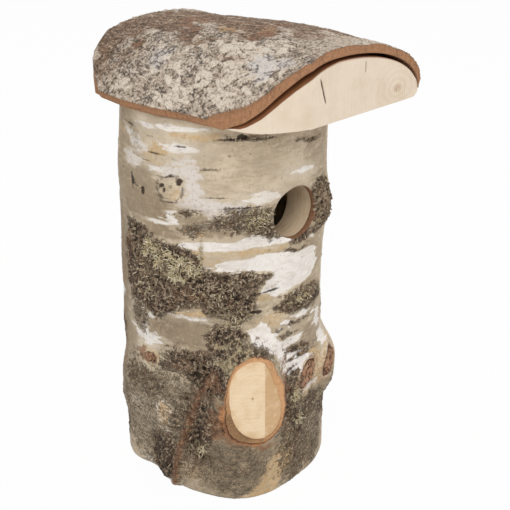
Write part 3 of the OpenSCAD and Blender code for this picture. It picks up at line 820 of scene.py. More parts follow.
def stub_collar(a, z, relief, rust, rough, crust):
    """Bark that climbs to the rim of the branch stub and is open behind it."""
    near = np.abs(wrap(a - STUB_ANGLE)) < 60
    across = np.radians(np.where(near, wrap(a - STUB_ANGLE), 0))
    u = STUB_FACE * np.tan(across)
    v = z - STUB_HEIGHT
    turn = np.arctan2(v - STUB_MIDDLE[1], u - STUB_MIDDLE[0])
    reach = np.hypot(v - STUB_MIDDLE[1], u - STUB_MIDDLE[0])
    outside = reach - round_table(turn, STUB_OUTER)
    beyond = np.maximum(outside, 0)
    climb = (stub_plane(u) - 0.9) / np.cos(across) + 0.7 * crust - log_shape(a, z)
    width = 5.0 + 2.5 * np.cos(turn - 2.2)
    share = np.exp(-(beyond / width) ** 1.4) * near
    relief = relief * (1 - share) + np.maximum(climb, relief) * share
    relief = np.where((outside < -1.1) & near, -3.2, relief)
    flat = np.exp(-(beyond / 1.6) ** 2) * near
    lower_left = np.exp(-((turn + 2.5) / 0.75) ** 2 - (beyond / 7.5) ** 2) * near
    rust = np.maximum(rust, np.maximum(0.7 * flat, lower_left))
    over = np.exp(-((turn - 1.9) / 0.9) ** 2 - (np.maximum(outside - 1, 0) / 6) ** 2) * near
    rough = np.maximum(rough * (1 - 0.35 * lower_left), over)
    left = np.exp(-((turn + 2.75) / 0.5) ** 2 - (beyond / 5.5) ** 2) * near
    left = left * (np.cos(turn + 2.6) > 0)
    under = 0.8 * np.exp(-((turn + 1.5) / 0.75) ** 2 - (beyond / 1.8) ** 2) * near
    ledge = np.maximum(left, under)
    relief = relief - 0.9 * left * hill(outside - 2.2, 0.7)
    return relief, rust, rough, ledge


KNOTS = {"scar_inner": (6.5, 72, 8.6, 11), "scar_outer": (25.5, 72, 7.5, 11.5),
         "knot_left": (-88, 87, 5, 4)}


def log_columns(near_step, far_step):
    """Angles round the log, closer together where it is seen first."""
    near = max(8, int(190 * MESH_DEGREE / near_step / 4) * 4)
    far = max(8, int(170 * MESH_DEGREE / far_step / 4) * 4)
    return np.concatenate([np.linspace(-140, 50, near, endpoint=False),
                           np.linspace(50, 220, far, endpoint=False)])


def round_hole(loop, points, start=0):
    """A loop of point numbers sorted by their turn round the entrance, and those turns."""
    turn = np.array([math.atan2(points[i - start, 2] - HOLE_Z, points[i - start, 0] - HOLE_X)
                     for i in loop])
    order = np.argsort(turn)
    return np.array(loop)[order], turn[order]


def make_log_bark(sizes, material):
    """The bark as one closed shell: a fine outside, a plain inside and the entrance hole."""
    angles = log_columns(sizes.near_step / MM, sizes.far_step / MM)
    columns = len(angles)
    rows = int(LOG_HEIGHT / (sizes.near_step / MM) / 4) * 4 + 1
    heights = np.linspace(0, LOG_HEIGHT, rows)
    a, z = np.meshgrid(wrap(angles), heights)
    marks, relief = bark_marks(a, z)
    relief = relief - 0.5 * np.exp(-z / 0.8)
    shell = on_log(a, z, relief)
    front = shell[..., 1] < 0
    hole = HOLE_RADIUS + 0.45
    reach = np.hypot(shell[..., 0] - HOLE_X, shell[..., 2] - HOLE_Z)
    gone = (reach < hole) & front
    quads = grid_faces(rows, columns, closed=True)
    points = shell.reshape(-1, 3).copy()
    lost = gone.reshape(-1)[quads].any(1)
    kept = quads[~lost]
    rim, turn = round_hole(loops_of(quads[lost])[0], points)
    rim_x = HOLE_X + hole * np.cos(turn)
    rim_z = HOLE_Z + hole * np.sin(turn)
    depth = np.hypot(points[rim, 0], points[rim, 1])
    points[rim] = np.stack([rim_x, -np.sqrt(depth ** 2 - rim_x ** 2), rim_z], -1)
    faces = [kept]
    marks = {key: list(value.reshape(-1)) for key, value in marks.items()}
    marks["cut"] = [0.0] * len(points)
    parts = [points]
    count = len(points)

    def add(extra, cut):
        nonlocal count
        parts.append(extra)
        for key in marks:
            marks[key].extend([cut if key == "cut" else 0.0] * len(extra))
        start = count
        count += len(extra)
        return start

    # the wall of the hole, from a slightly rounded lip to the wood
    last = rim
    inner_radius = log_shape(np.degrees(np.arctan2(rim_x, -points[rim, 1])), rim_z) - BARK_THICKNESS
    inner_y = -np.sqrt(inner_radius ** 2 - rim_x ** 2)
    for share, wider in ((0.1, 0.22), (0.26, 0.06), (0.5, 0.1), (0.75, 0.0), (1.0, 0.0)):
        wobble = wider + 0.12 * np.sin(turn * 11 + share * 9) * (1 - share)
        ring_x = HOLE_X + (HOLE_RADIUS + wobble) * np.cos(turn)
        ring_z = HOLE_Z + (HOLE_RADIUS + wobble) * np.sin(turn)
        ring_y = points[rim, 1] * (1 - share) + inner_y * share
        start = add(np.stack([ring_x, ring_y, ring_z], -1), 1.0)
        ring = np.arange(start, start + len(rim))
        faces.append(np.stack([last, np.roll(last, -1), np.roll(ring, -1), ring], -1))
        last = ring
    # the plain inside, every fourth column and row
    inside_angles, inside_heights = angles[::4], heights[::4]
    ia, iz = np.meshgrid(wrap(inside_angles), inside_heights)
    inside = on_log(ia, iz, -BARK_THICKNESS)
    start = add(inside.reshape(-1, 3), 0.0)
    inside_quads = grid_faces(len(inside_heights), len(inside_angles), start, closed=True, flip=True)
    flat = inside.reshape(-1, 3)
    near_hole = (np.hypot(flat[:, 0] - HOLE_X, flat[:, 2] - HOLE_Z) < HOLE_RADIUS + 1.2) & (flat[:, 1] < 0)
    lost = near_hole[inside_quads - start].any(1)
    window, window_turn = round_hole(loops_of(inside_quads[lost])[0], flat, start)
    faces.append(inside_quads[~lost])
    faces.append(zip_loops(list(last), list(window), list(turn), list(window_turn)))
    # top and bottom rings
    outer_turn = np.radians(angles)
    inner_turn = np.radians(inside_angles)
    bottom = list(range(columns))
    top = list(range((rows - 1) * columns, rows * columns))
    n = len(inside_angles)
    bottom_in = list(range(start, start + n))
    top_in = list(range(start + (len(inside_heights) - 1) * n, start + len(inside_heights) * n))
    under = zip_loops(bottom, bottom_in, list(outer_turn), list(inner_turn))
    over = zip_loops(top, top_in, list(outer_turn), list(inner_turn))
    faces.append([f[::-1] for f in under])
    faces.append(over)
    return build_piece("log_bark", np.concatenate(parts), one_list(faces), BARK_NODES,
                       marks, material)


def log_bark_finish(c):
    f = Finish("log_bark")
    where = f.place()
    level = f.place((1, 1, 3.6))
    upright = f.place((1, 1, 0.25))
    fine = f.grain(where, 0.9, 4, 0.65)
    speck = f.grain(where, 1.3, 2, 0.6)
    crumb = f.grain(where, 2.7, 3, 0.62)
    clump = f.grain(where, 8, 5, 0.66)
    cloud = f.grain(f.place((1, 1, 1.6)), 26, 6, 0.62)
    streak = f.grain(level, 7, 5, 0.66)
    fibre = f.grain(upright, 1.0, 3, 0.6)
    slant = f.grain(f.leaning((1, 1, 3.2), (0.2, 0.5, 0)), 1.6, 3, 0.65)
    rough, white, dark = f.mark("rough"), f.mark("white"), f.mark("dark")
    tone, moss, rust = f.mark("tone"), f.mark("moss"), f.mark("rust")
    mottle = clump * 0.32 + crumb * 0.24 + speck * 0.22 + slant * 0.22

    base = f.coat(c.cream, c.tan, cloud * 0.6 + streak * 0.25 + mottle * 0.15, 0.43, 0.60)
    base = f.coat(base, c.white_shade, mottle * 0.5 + cloud * 0.5, 0.51, 0.62, 0.45)
    base = f.blend(base, c.white_shade, f.crisp(f.mark("haze"), streak, 1.4, 1.3) * 0.6)
    drab = f.coat(darker(c.olive, 0.72), c.olive, mottle, 0.42, 0.54)
    drab = f.coat(drab, c.cream, mottle, 0.53, 0.63, 0.5)
    base = f.blend(base, drab, f.crisp(f.mark("olive"), streak * 0.4 + mottle * 0.6, 2.6, 1.5) * 0.85)
    veil = f.coat(c.veil, c.cream, streak * 0.6 + cloud * 0.4, 0.52, 0.66)
    base = f.blend(base, veil, f.crisp(f.mark("veil"), streak, 1.8, 1.6) * 0.85)
    stained = f.crisp(f.mark("stain"), mottle * 0.6 + streak * 0.4, 3.0, 1.4) * 0.7
    base = f.blend(base, drab, stained)
    ochre_share = f.crisp(f.mark("ochre"), streak * 0.6 + slant * 0.4, 2.0, 1.8)
    ochre_share = ochre_share * f.levels(mottle, 0.36, 0.50)
    ochre = f.coat(c.ochre, c.cream, fibre * 0.5 + speck * 0.5, 0.48, 0.62, 0.8)
    ochre = f.coat(ochre, c.soil, slant * 0.6 + speck * 0.4, 0.5, 0.62, 0.6)
    base = f.blend(base, ochre, ochre_share * 0.85)
    layers = f.coat(c.white, c.white_shade, streak * 0.6 + cloud * 0.4, 0.48, 0.62, 0.75)
    layers = f.coat(layers, c.veil, clump, 0.44, 0.58, 0.5)
    white_share = f.crisp(white, streak * 0.7 + fine * 0.3, 1.4, 3.0)
    base = f.blend(base, layers, white_share)
    grainy = f.levels(fibre * 0.6 + speck * 0.4, 0.54, 0.68)
    base = f.blend(base, darker(c.tan, 0.6), grainy * (0.34 - white_share * 0.3))
    # weathered bark, mottled
    weathered = f.coat(c.soil_dark, c.soil, mottle, 0.42, 0.54)
    weathered = f.coat(weathered, c.rust, cloud * 0.6 + crumb * 0.4, 0.53, 0.64, 0.3)
    weathered = f.coat(weathered, c.cream, mottle, 0.535, 0.62, 0.6)
    weathered = f.coat(weathered, darker(c.soil_dark, 0.6), speck, 0.60, 0.74, 0.6)
    soil_share = f.crisp(f.mark("soil"), mottle, 3.2, 1.5)
    base = f.blend(base, weathered, soil_share * 0.92)
    # reddish inner bark
    rust_tone = f.coat(c.rust, c.crust_dark_and_shade, speck * 0.6 + crumb * 0.4, 0.5, 0.66)
    rust_tone = f.coat(rust_tone, c.ochre, speck, 0.56, 0.7, 0.6)
    base = f.blend(base, rust_tone, f.crisp(rust, crumb * 0.5 + speck * 0.5, 2.2, 1.8) * 0.8)
    # crust: its colour runs from the crust's own dark tone to pale crumbs, and is darkest where the bump and
    # the crust's lumps lie low, which is painted shade in the fissures
    grit = tone * 0.22 + speck * 0.5 + crumb * 0.24 + slant * 0.16
    crust = f.node("ShaderNodeValToRGB", {"stops": (
        (0.485, tuple(c.crust_dark_and_shade)), (0.55, darker(c.crust, 0.5)),
        (0.605, tuple(c.crust)), (0.69, tuple(c.crust_light)))}, {"Fac": grit})
    crust = f.coat(crust, c.rust, clump * 0.6 + crumb * 0.4, 0.52, 0.64, 0.45)
    crust = f.blend(crust, c.rust, f.crisp(rust, crumb, 1.8, 1.8) * 0.5)
    growth = f.coat(darker(c.growth, 0.4), c.growth, speck * 0.6 + crumb * 0.4, 0.42, 0.54)
    growth = f.coat(growth, c.crust_light, speck, 0.56, 0.68, 0.7)
    growth_share = f.crisp(moss, crumb * 0.5 + clump * 0.5, 3.2, 2.0)
    crust = f.blend(crust, growth, growth_share * 0.8)
    rough_share = f.crisp(rough, speck * 0.45 + crumb * 0.25 + streak * 0.3, 3.2, 2.4)
    rough_share = rough_share * f.levels(rough, 0.01, 0.1)
    base = f.blend(base, crust, rough_share)
    base = f.blend(base, growth, growth_share * (0.3 - white_share * 0.3))
    base = f.blend(base, c.mark, f.crisp(dark, speck * 0.6 + crumb * 0.4, 0.9, 2.0) * 0.95)
    chipped = f.coat(c.ledge, c.crust_dark_and_shade, speck * 0.5 + slant * 0.5, 0.52, 0.64)
    base = f.blend(base, chipped, f.crisp(f.mark("ledge"), speck * 0.4 + crumb * 0.6, 2.4, 2.0) * 0.95)
    edge = f.coat(c.cut, darker(c.cut, 0.6), fine, 0.42, 0.62)
    base = f.blend(base, edge, f.mark("cut"))
    height = fine * (0.25 + rough_share * 0.7) + speck * (0.1 + rough_share * 1.6) + crumb * rough_share
    gloss = 0.7 + rough_share * 0.2 - white * 0.1
    return f.surface(base, gloss, height + streak * 0.3 + slant * soil_share * 0.6, 0.75, 0.25)


# ---------------------------------------------------------------- knots and the branch stub

def disc_grid(rings, spokes):
    """Shares of the radius and turns of a filled round grid without its middle point."""
    radius = np.linspace(0, 1, rings + 1)[1:]
    turn = np.linspace(0, 2 * math.pi, spokes, endpoint=False)
    return np.meshgrid(radius, turn, indexing="ij")


def disc_faces(rings, spokes, start=0):
    """Faces of a filled round grid: its middle point first, then its rings."""
    middle = [(start, start + 1 + i, start + 1 + (i + 1) % spokes) for i in range(spokes)]
    return middle + [tuple(q) for q in grid_faces(rings, spokes, start + 1, closed=True, flip=True)]


def make_scar(name, material, seed):
    """An old knot: a worn, ringed swelling set in the bark."""
    angle, height, half_width, half_height = KNOTS[name]
    rings, spokes = 30, 80
    share, turn = disc_grid(rings, spokes)
    outline = 1 + 0.06 * np.sin(2 * turn + seed) + 0.05 * np.sin(5 * turn + 2 * seed)
    u = np.concatenate([[0], (share * outline * half_width * np.cos(turn)).ravel()])
    v = np.concatenate([[0], (share * outline * half_height * np.sin(turn)).ravel()])
    u = u + KNOT_LEAN * v * (angle > 0)
    far = np.concatenate([[0], share.ravel()])
    z = height + v
    a = angle + np.degrees(np.arcsin(u / log_shape(angle, height)))
    bend = rough_noise(u / 4, v / 4, 0 * u, 2, seed)
    ripples = 0.3 * np.sin(far * 17 + 2.0 * bend)
    lumps = np.minimum(1, 2.6 * np.abs(rough_noise(u / 3.2, v / 4.2, 0 * u, 3, seed + 3)))
    out = -0.9 + 1.5 * (1 - (far - 0.35) ** 2) + ripples + 0.8 * (lumps - 0.5)
    out = out - 1.5 * hill(far - 0.83, 0.07) * (0.4 + 0.6 * lumps)
    out = np.minimum(np.where(far > 0.97, -0.4, out), 1.7)
    top = on_log(a, z, out)
    skirt = on_log(a[-spokes:], z[-spokes:], -3.2)
    middle = on_log(np.array([float(angle)]), np.array([float(height)]), -3.2)
    points = np.concatenate([top, skirt, middle])
    last = len(top) - spokes
    faces = [tuple(f) for f in disc_faces(rings, spokes)]
    for i in range(spokes):
        n = (i + 1) % spokes
        faces.append((last + i, last + spokes + i, last + spokes + n, last + n))
        faces.append((last + spokes + i, len(points) - 1, last + spokes + n))
    rim = np.concatenate([hill(far - 0.95, 0.1), np.ones(spokes + 1)])
    # painted shade: this mark is highest where the knot lies low, in its hollows and in its groove near the
    # rim
    deep = unit(0.75 - 0.6 * lumps + 0.5 * hill(far - 0.83, 0.08))
    marks = {"rim": rim, "deep": np.concatenate([deep, np.zeros(spokes + 1)])}
    return build_piece(name + "_wood", points, faces, [name], marks, material, 60)


def scar_finish(c):
    f = Finish("knot_scar")
    where = f.place()
    fine = f.grain(where, 0.9, 5, 0.7)
    blotch = f.grain(where, 3.0, 4, 0.65)
    # the dark colour follows the hollows mark, which is painted shade in the knot's recesses, with dark
    # specks from the noise
    base = f.coat(c.scar, c.scar_dark_and_shade, f.mark("deep") * 0.5 + fine * 0.8, 0.46, 0.74)
    base = f.coat(base, c.scar_rim, blotch * 0.5 + fine * 0.5, 0.52, 0.62, 0.6)
    base = f.blend(base, c.scar_rim, f.crisp(f.mark("rim"), blotch, 1.4, 2.0) * 0.75)
    return f.surface(base, 0.78 + fine * 0.15, fine * 0.7 + blotch * 0.6, 0.6, 0.25)


def stub_place(u, v, out):
    """A point on the branch stub: across, up and outwards from the log's axis."""
    a = math.radians(STUB_ANGLE)
    return np.stack([math.sin(a) * out + math.cos(a) * u, -math.cos(a) * out + math.sin(a) * u,
                     STUB_HEIGHT + v], -1)


def stub_ring(reach, turn):
    """Places across and up at a distance from the stub's middle."""
    return reach * np.cos(turn) + STUB_MIDDLE[0], reach * np.sin(turn) + STUB_MIDDLE[1]


def stub_plane(u):
    """Distance of the two saw cuts from the log's axis."""
    return STUB_FACE - np.clip(u - STUB_FOLD, 0, None) * math.tan(math.radians(STUB_SLOPE))


def make_stub_wood(material):
    rings, spokes = 44, 180
    share, turn = disc_grid(rings, spokes)
    reach = round_table(turn, STUB_INNER)
    u = np.concatenate([[0], (share * reach * np.cos(turn)).ravel()]) + STUB_MIDDLE[0]
    v = np.concatenate([[0], (share * reach * np.sin(turn)).ravel()]) + STUB_MIDDLE[1]
    u = np.where(np.abs(u - STUB_FOLD) < 0.3, STUB_FOLD, u)
    far = np.concatenate([[0], share.ravel()])
    saw = 0.05 * np.sin(v * 2.1 + 0.25 * u + 0.8 * rough_noise(u / 9, v / 9, 0 * u, 2, 5))
    from_pith = np.hypot((u + 3.6) * 1.25, v - 5.4)
    face = stub_plane(u) + saw - 0.15 - 0.5 * hill(from_pith, 0.7)
    face = face - 0.35 * unit((far - 0.975) / 0.025)
    parts = [stub_place(u, v, face)]
    marks_far = [far]
    count = len(face)
    last = np.arange(count - spokes, count)
    faces = disc_faces(rings, spokes)
    side_u, side_v = u[-spokes:], v[-spokes:]
    base_out = stub_base(side_u, side_v)
    for share_down in (0.35, 1.0):
        out = face[-spokes:] * (1 - share_down) + base_out * share_down
        parts.append(stub_place(side_u, side_v, out))
        ring = np.arange(count, count + spokes)
        faces += [tuple(q) for q in band(last, ring)]
        last = ring
        count += spokes
        marks_far.append(np.ones(spokes))
    parts.append(stub_place(np.array([STUB_MIDDLE[0]]), np.array([STUB_MIDDLE[1]]),
                            np.array([base_out.min()])))
    marks_far.append(np.ones(1))
    faces += [(int(last[i]), count, int(last[(i + 1) % spokes])) for i in range(spokes)]
    far = np.concatenate(marks_far)
    rest = len(far) - len(u)
    marks = {"far": far, "pith": np.concatenate([from_pith, np.full(rest, 25.0)]),
             "slope": np.concatenate([unit((u - STUB_FOLD) * 3), np.zeros(rest)])}
    return build_piece("branch_stub_wood", np.concatenate(parts), faces,
                       ["branch_stub"], marks, material, 12)


def stub_base(u, v):
    """How far out the log's wood lies behind a place on the stub."""
    place = stub_place(u, v, np.full(len(u), 70.0))
    radius = log_shape(np.degrees(np.arctan2(place[:, 0], -place[:, 1])), place[:, 2])
    return np.sqrt(np.maximum((radius - BARK_THICKNESS - 0.8) ** 2 - u ** 2, 1))


def stub_finish(c):
    f = Finish("stub_end_grain")
    where = f.place()
    fine = f.grain(where, 0.8, 4, 0.65)
    cloud = f.grain(where, 8, 4, 0.6)
    saw = f.grain(f.place((0.5, 0.5, 6), (0.0, 0.5, 0.0)), 3, 4, 0.6)
    pith = f.mark("pith")
    rings = (pith * 2.6 + cloud * 6).wave() * 0.5 + 0.5
    base = f.coat(c.stub, c.stub_line, cloud * 0.6 + saw * 0.4, 0.48, 0.66, 0.75)
    base = f.blend(base, c.stub_line, rings * 0.16)
    far = f.levels(f.mark("far"), 0.72, 1.0)
    base = f.blend(base, c.stub_rim_and_cut_shade, far * f.levels(cloud, 0.3, 0.6) * 0.6)
    # painted shade: the second saw cut is painted darker than the first, as if it were turned from the light
    sloped_shade = tuple(v * share for v, share in zip(c.stub_rim_and_cut_shade, (0.86, 0.8, 0.74)))
    base = f.blend(base, sloped_shade, f.mark("slope") * f.levels(cloud, 0.1, 0.5) * 0.8)
    base = f.coat(base, c.ring_dark, pith, 1.3, 0.4, 0.75)
    return f.surface(base, 0.62 + fine * 0.12, fine * 0.3 + saw * 0.5, 0.16, 0.3)


def make_stub_bark(material):
    """The ring of bark round the sawn stub: a chipped ledge low on the left, thin elsewhere."""
    spokes, rows = 260, 13
    turn = np.linspace(0, 2 * math.pi, spokes, endpoint=False)
    inner = round_table(turn, STUB_INNER) - 0.15
    edge = rough_noise(9 * np.cos(turn), 9 * np.sin(turn), 0 * turn, 4, 73)
    outer = round_table(turn, STUB_OUTER) + 0.55 * edge
    broad = unit((outer - inner - 1.6) / 3) * unit(0.4 + 1.4 * np.cos(turn + 2.3))
    parts, marks = [], {"across": [], "broad": [], "crack": []}
    for row in range(rows + 3):
        w = min(1.0, row / (rows - 1))
        reach = inner + (outer - inner) * w
        u, v = stub_ring(reach, turn)
        worn = rough_noise(u / 2.2, v / 2.2, 0 * u + w, 4, 71)
        top = stub_plane(u) - 0.1 - 0.9 * broad * math.sin(math.pi * min(1, w * 1.3)) ** 0.5
        top = top + 0.55 * worn * min(1, 4 * w)
        gap = hill(w - 0.86, 0.06) * (np.cos(turn + 2.3) > -0.3)
        top = top - 1.3 * gap * (0.5 + 0.5 * unit(worn + 0.4))
        if row >= rows - 2 and row < rows:
            top = top - 0.25
        if row == rows:
            reach, top = reach + 0.35, top - 1.0
        if row == rows + 1:
            reach, top = reach + 0.1, top - 2.6
        u, v = stub_ring(reach, turn)
        base_out = stub_base(u, v)
        if row == rows + 2:
            top = base_out
        parts.append(stub_place(u, v, np.maximum(top, base_out)))
        marks["across"].append(np.full(spokes, w))
        marks["broad"].append(broad)
        marks["crack"].append(gap)
    u, v = stub_ring(inner, turn)
    parts.append(stub_place(u, v, stub_base(u, v)))
    for key in marks:
        marks[key] = np.concatenate(marks[key] + [np.zeros(spokes)])
    faces, loops = [], rows + 4
    for row in range(loops):
        here = np.arange(row * spokes, (row + 1) * spokes)
        there = (row + 1) % loops * spokes + np.arange(spokes)
        faces += [tuple(q) for q in band(here, there)]
    return build_piece("branch_stub_bark", np.concatenate(parts), faces,
                       ["branch_bark"], marks, material, 50)


def ring_finish(c):
    f = Finish("bark_edge")
    where = f.place()
    fine = f.grain(where, 0.9, 5, 0.7)
    blotch = f.grain(where, 3.6, 4, 0.65)
    up = f.axis(where, 2)
    low = f.levels(up, (STUB_HEIGHT - 4) * MM, (STUB_HEIGHT - 16) * MM)
    ledge = f.coat(c.ring_dark, darker(c.ring_dark, 0.55), fine, 0.45, 0.62)
    base = f.coat(c.ring, c.ring_dark, fine * 0.5 + blotch * 0.5, 0.5, 0.64, 0.6)
    base = f.blend(base, ledge, f.mark("broad") * 0.9)
    reddened = f.levels(f.mark("across") + fine * 0.5, 0.95, 1.3) * (0.35 + low * 0.5)
    base = f.blend(base, c.ring_red, reddened)
    # painted shade: the crack groove round the stub is painted near black
    base = f.blend(base, darker(c.ring_red, 0.35), f.crisp(f.mark("crack"), fine, 1.2, 2.4))
    return f.surface(base, 0.8, fine + blotch * 0.7, 0.5, 0.25)


# ---------------------------------------------------------------- the roof's shape

ROOF_REACH = -ROOF_LOW[1]
ROOF_CROWN = 42.5
ROOF_BARK = 5.8
ROOF_GAP = 6.5
CROWN = ((-1.03, 1), (-0.86, 0.98), (-0.33, 0.98), (-0.12, 0.95), (0.12, 0.9), (0.35, 0.86), (0.72, 0.85))
LEFT_EDGE = ((-1.03, 0.87), (-0.66, 0.85), (-0.33, 0.9), (-0.12, 0.97), (0.12, 1), (0.35, 0.97),
             (0.72, 0.86))
RIGHT_EDGE = ((-1.03, 1), (0.12, 1), (0.35, 0.97), (0.72, 0.86))
RIDGE = ((-1.03, 1), (0, 11), (0.72, 4))
LEFT_BOW = ((-1.03, 2.5), (0.72, 3.5))


def lookup(s, table):
    return np.interp(s, [row[0] for row in table], [row[1] for row in table])


def roof_curve(s, t, edge_height, side_height, sheet, left_lap, right_lap):
    """A curve over the roof at a station, from its left edge to its right one."""
    h = ROOF_CROWN * lookup(s, CROWN) - sheet
    ridge = lookup(s, RIDGE)
    left = ROOF_LOW[0] * lookup(s, LEFT_EDGE) * -1
    right = ROOF_HIGH[0] * lookup(s, RIGHT_EDGE)
    c, n = np.cos(np.radians(t)), np.sin(np.radians(t))
    x = np.where(c > 0, ridge - (ridge + left - left_lap) * c, ridge - (right - ridge - right_lap) * c)
    z = np.where(c > 0, edge_height + (h - edge_height) * (1 - np.abs(c) ** lookup(s, LEFT_BOW)),
                 side_height + (h - side_height) * n)
    return x, z


def roof_outer(s, t):
    return roof_curve(s, t, 6, 10, 0, 0, 0)


def roof_under(s, t):
    return roof_curve(s, t, 0, 5, ROOF_BARK, 4, 2)


def roof_wood(s, t):
    x, z = roof_under(s, t)
    lift = ROOF_GAP * (max(0.0, -0.42 - s) / 0.6) ** 1.3
    left = np.maximum(0, np.cos(np.radians(t)))
    drop = lift * (0.37 + 1.15 * left) * np.minimum(1, 3 * np.sin(np.radians(t)))
    return x, z - np.minimum(drop, 0.72 * z)


def plan_limits(y, inset):
    """Left and right limits of the roof's rounded outline at a place along it, its corners eased."""
    spread = [edge_limits(np.clip(y + off, -ROOF_REACH + inset, ROOF_HIGH[1] - inset), inset)
              for off in (-2.4, -1.2, 0, 1.2, 2.4)]
    return tuple(sum(pair[side] for pair in spread) / 5 for side in (0, 1))


def edge_limits(y, inset):
    """Left and right limits of the roof's outline, straight from corner to corner."""
    f, b = -ROOF_REACH + inset, ROOF_HIGH[1] - inset
    l, r = ROOF_LOW[0] + inset, ROOF_HIGH[0] - inset
    left = ((f, l + 52), (f + 1.2, l + 44), (f + 3.8, l + 37.5), (f + 7.5, l + 31), (f + 13, l + 23),
            (f + 22, l + 17.5), (f + 31, l + 15.5), (f + 38, l + 12.5), (f + 44, l + 10), (f + 50, l - 8),
            (b - 34, l - 8), (b - 32, l + 2), (b - 19, l + 9), (b - 6, l + 18), (b - 2, l + 26), (b, l + 40))
    right = ((f, r + 8), (b - 40, r + 8), (b - 32, r - 1), (b - 13, r - 7), (b - 3, r - 18), (b, r - 40))
    return lookup(y, left), lookup(y, right)


def roof_row(y, inset, curve, count):
    """Evenly spaced points over the roof at one place along it, and their turns."""
    t = np.linspace(0, 180, 1441)
    x, z = curve(y / ROOF_REACH, t)
    left, right = plan_limits(y, inset)
    t0 = np.interp(max(left, x[0]), x, t)
    t1 = np.interp(min(right, x[-1]), x, t)
    t = np.linspace(t0, t1, 1201)
    x, z = curve(y / ROOF_REACH, t)
    run = np.concatenate([[0], np.cumsum(np.hypot(np.diff(x), np.diff(z)))])
    spots = np.linspace(0, run[-1], count)
    return np.interp(spots, run, x), np.interp(spots, run, z), np.interp(spots, run, t)


def roof_grid(inset, curve, rows, columns):
    ys = np.linspace(-ROOF_REACH + inset, ROOF_HIGH[1] - inset, rows)
    found = [roof_row(y, inset, curve, columns) for y in ys]
    x, z, t = (np.array([row[i] for row in found]) for i in range(3))
    return x, np.repeat(ys[:, None], columns, 1), z + LOG_HEIGHT, t


def grid_normals(p):
    across = np.gradient(p, axis=1)
    down = np.gradient(p, axis=0)
    n = np.cross(across, down)
    return n / np.maximum(np.linalg.norm(n, axis=-1, keepdims=True), 1e-9)


def edge_order(rows, columns):
    """Point numbers round the border of a grid, one closed loop."""
    top = [i for i in range(columns)]
    right = [j * columns + columns - 1 for j in range(1, rows)]
    bottom = [(rows - 1) * columns + i for i in range(columns - 2, -1, -1)]
    left = [j * columns for j in range(rows - 2, 0, -1)]
    return np.array(top + right + bottom + left)


def spots_on_roof(x, y, marks, rag, soft=3.0):
    best = np.zeros(x.shape)
    for px, py, wide, long, turn, strength in map(full_mark, marks):
        c, s = math.cos(math.radians(turn)), math.sin(math.radians(turn))
        u, v = (x - px) * c + (y - py) * s, -(x - px) * s + (y - py) * c
        size = min(wide, long)
        inside = (1 - np.hypot(u / wide, v / long)) * size + rag * min(5, 0.8 * size)
        best = np.maximum(best, unit(0.5 + inside / soft) * strength)
    return best


# worn brown and pale patches on the roof: x, y, half width, half length, turn, strength
ROOF_BROWN = (
    (-14, 18, 9, 34, -22, 0.85), (2, -20, 14, 26, -10, 0.85), (24, 20, 22, 40, 0.8), (-20, 52, 44, 14, 0.7),
    (-40, 30, 6, 5, 0.9), (-2, -38, 12, 8, 0.95), (-26, -2, 7, 9, 0.6), (30, -30, 14, 24, -15, 0.75),
    (-6, 40, 22, 16, 0.7), (-34, -42, 2, 8, 10, 0.85), (50, 10, 14, 34, 0.65), (44, -60, 14, 16, 0.5),
    (12, -60, 10, 12, 0.5), (-52, 36, 12, 12, 0.5), (-20, -30, 3, 8, 10, 0.5))
ROOF_RED = (
    (-3, -38, 9, 5, 0.8), (-40, 29, 3, 2.4), (-8, 20, 4, 20, -20, 0.6), (14, -28, 7, 10, 0.6),
    (-27, 2, 3, 5, 0.5), (6, 30, 10, 12, 30, 0.5), (-34, -42, 1.6, 6, 10, 0.7))
ROOF_PALE = (
    (-33, -66, 7, 9, -20, 1), (-27, -76, 5, 6, 0.8), (-44, 6, 8, 7, 0.7), (-20, -58, 3, 8, -20, 0.5))
ROOF_BLOCKS = (
    (-40, -46, 20, 34), (-22, -44, 14, 30), (-34, -4, 14, 18, 0.7), (-14, -20, 12, 22, -15, 0.7),
    (-52, -20, 12, 26, 0.8), (-30, 30, 12, 14, 0.4))
ROOF_OCHRE = ((-6, -14, 7, 7, 0.8), (-36, 23, 5, 6, 0.7), (-2, 12, 3, 12, -20, 0.6), (6, -34, 7, 4, 0.5))


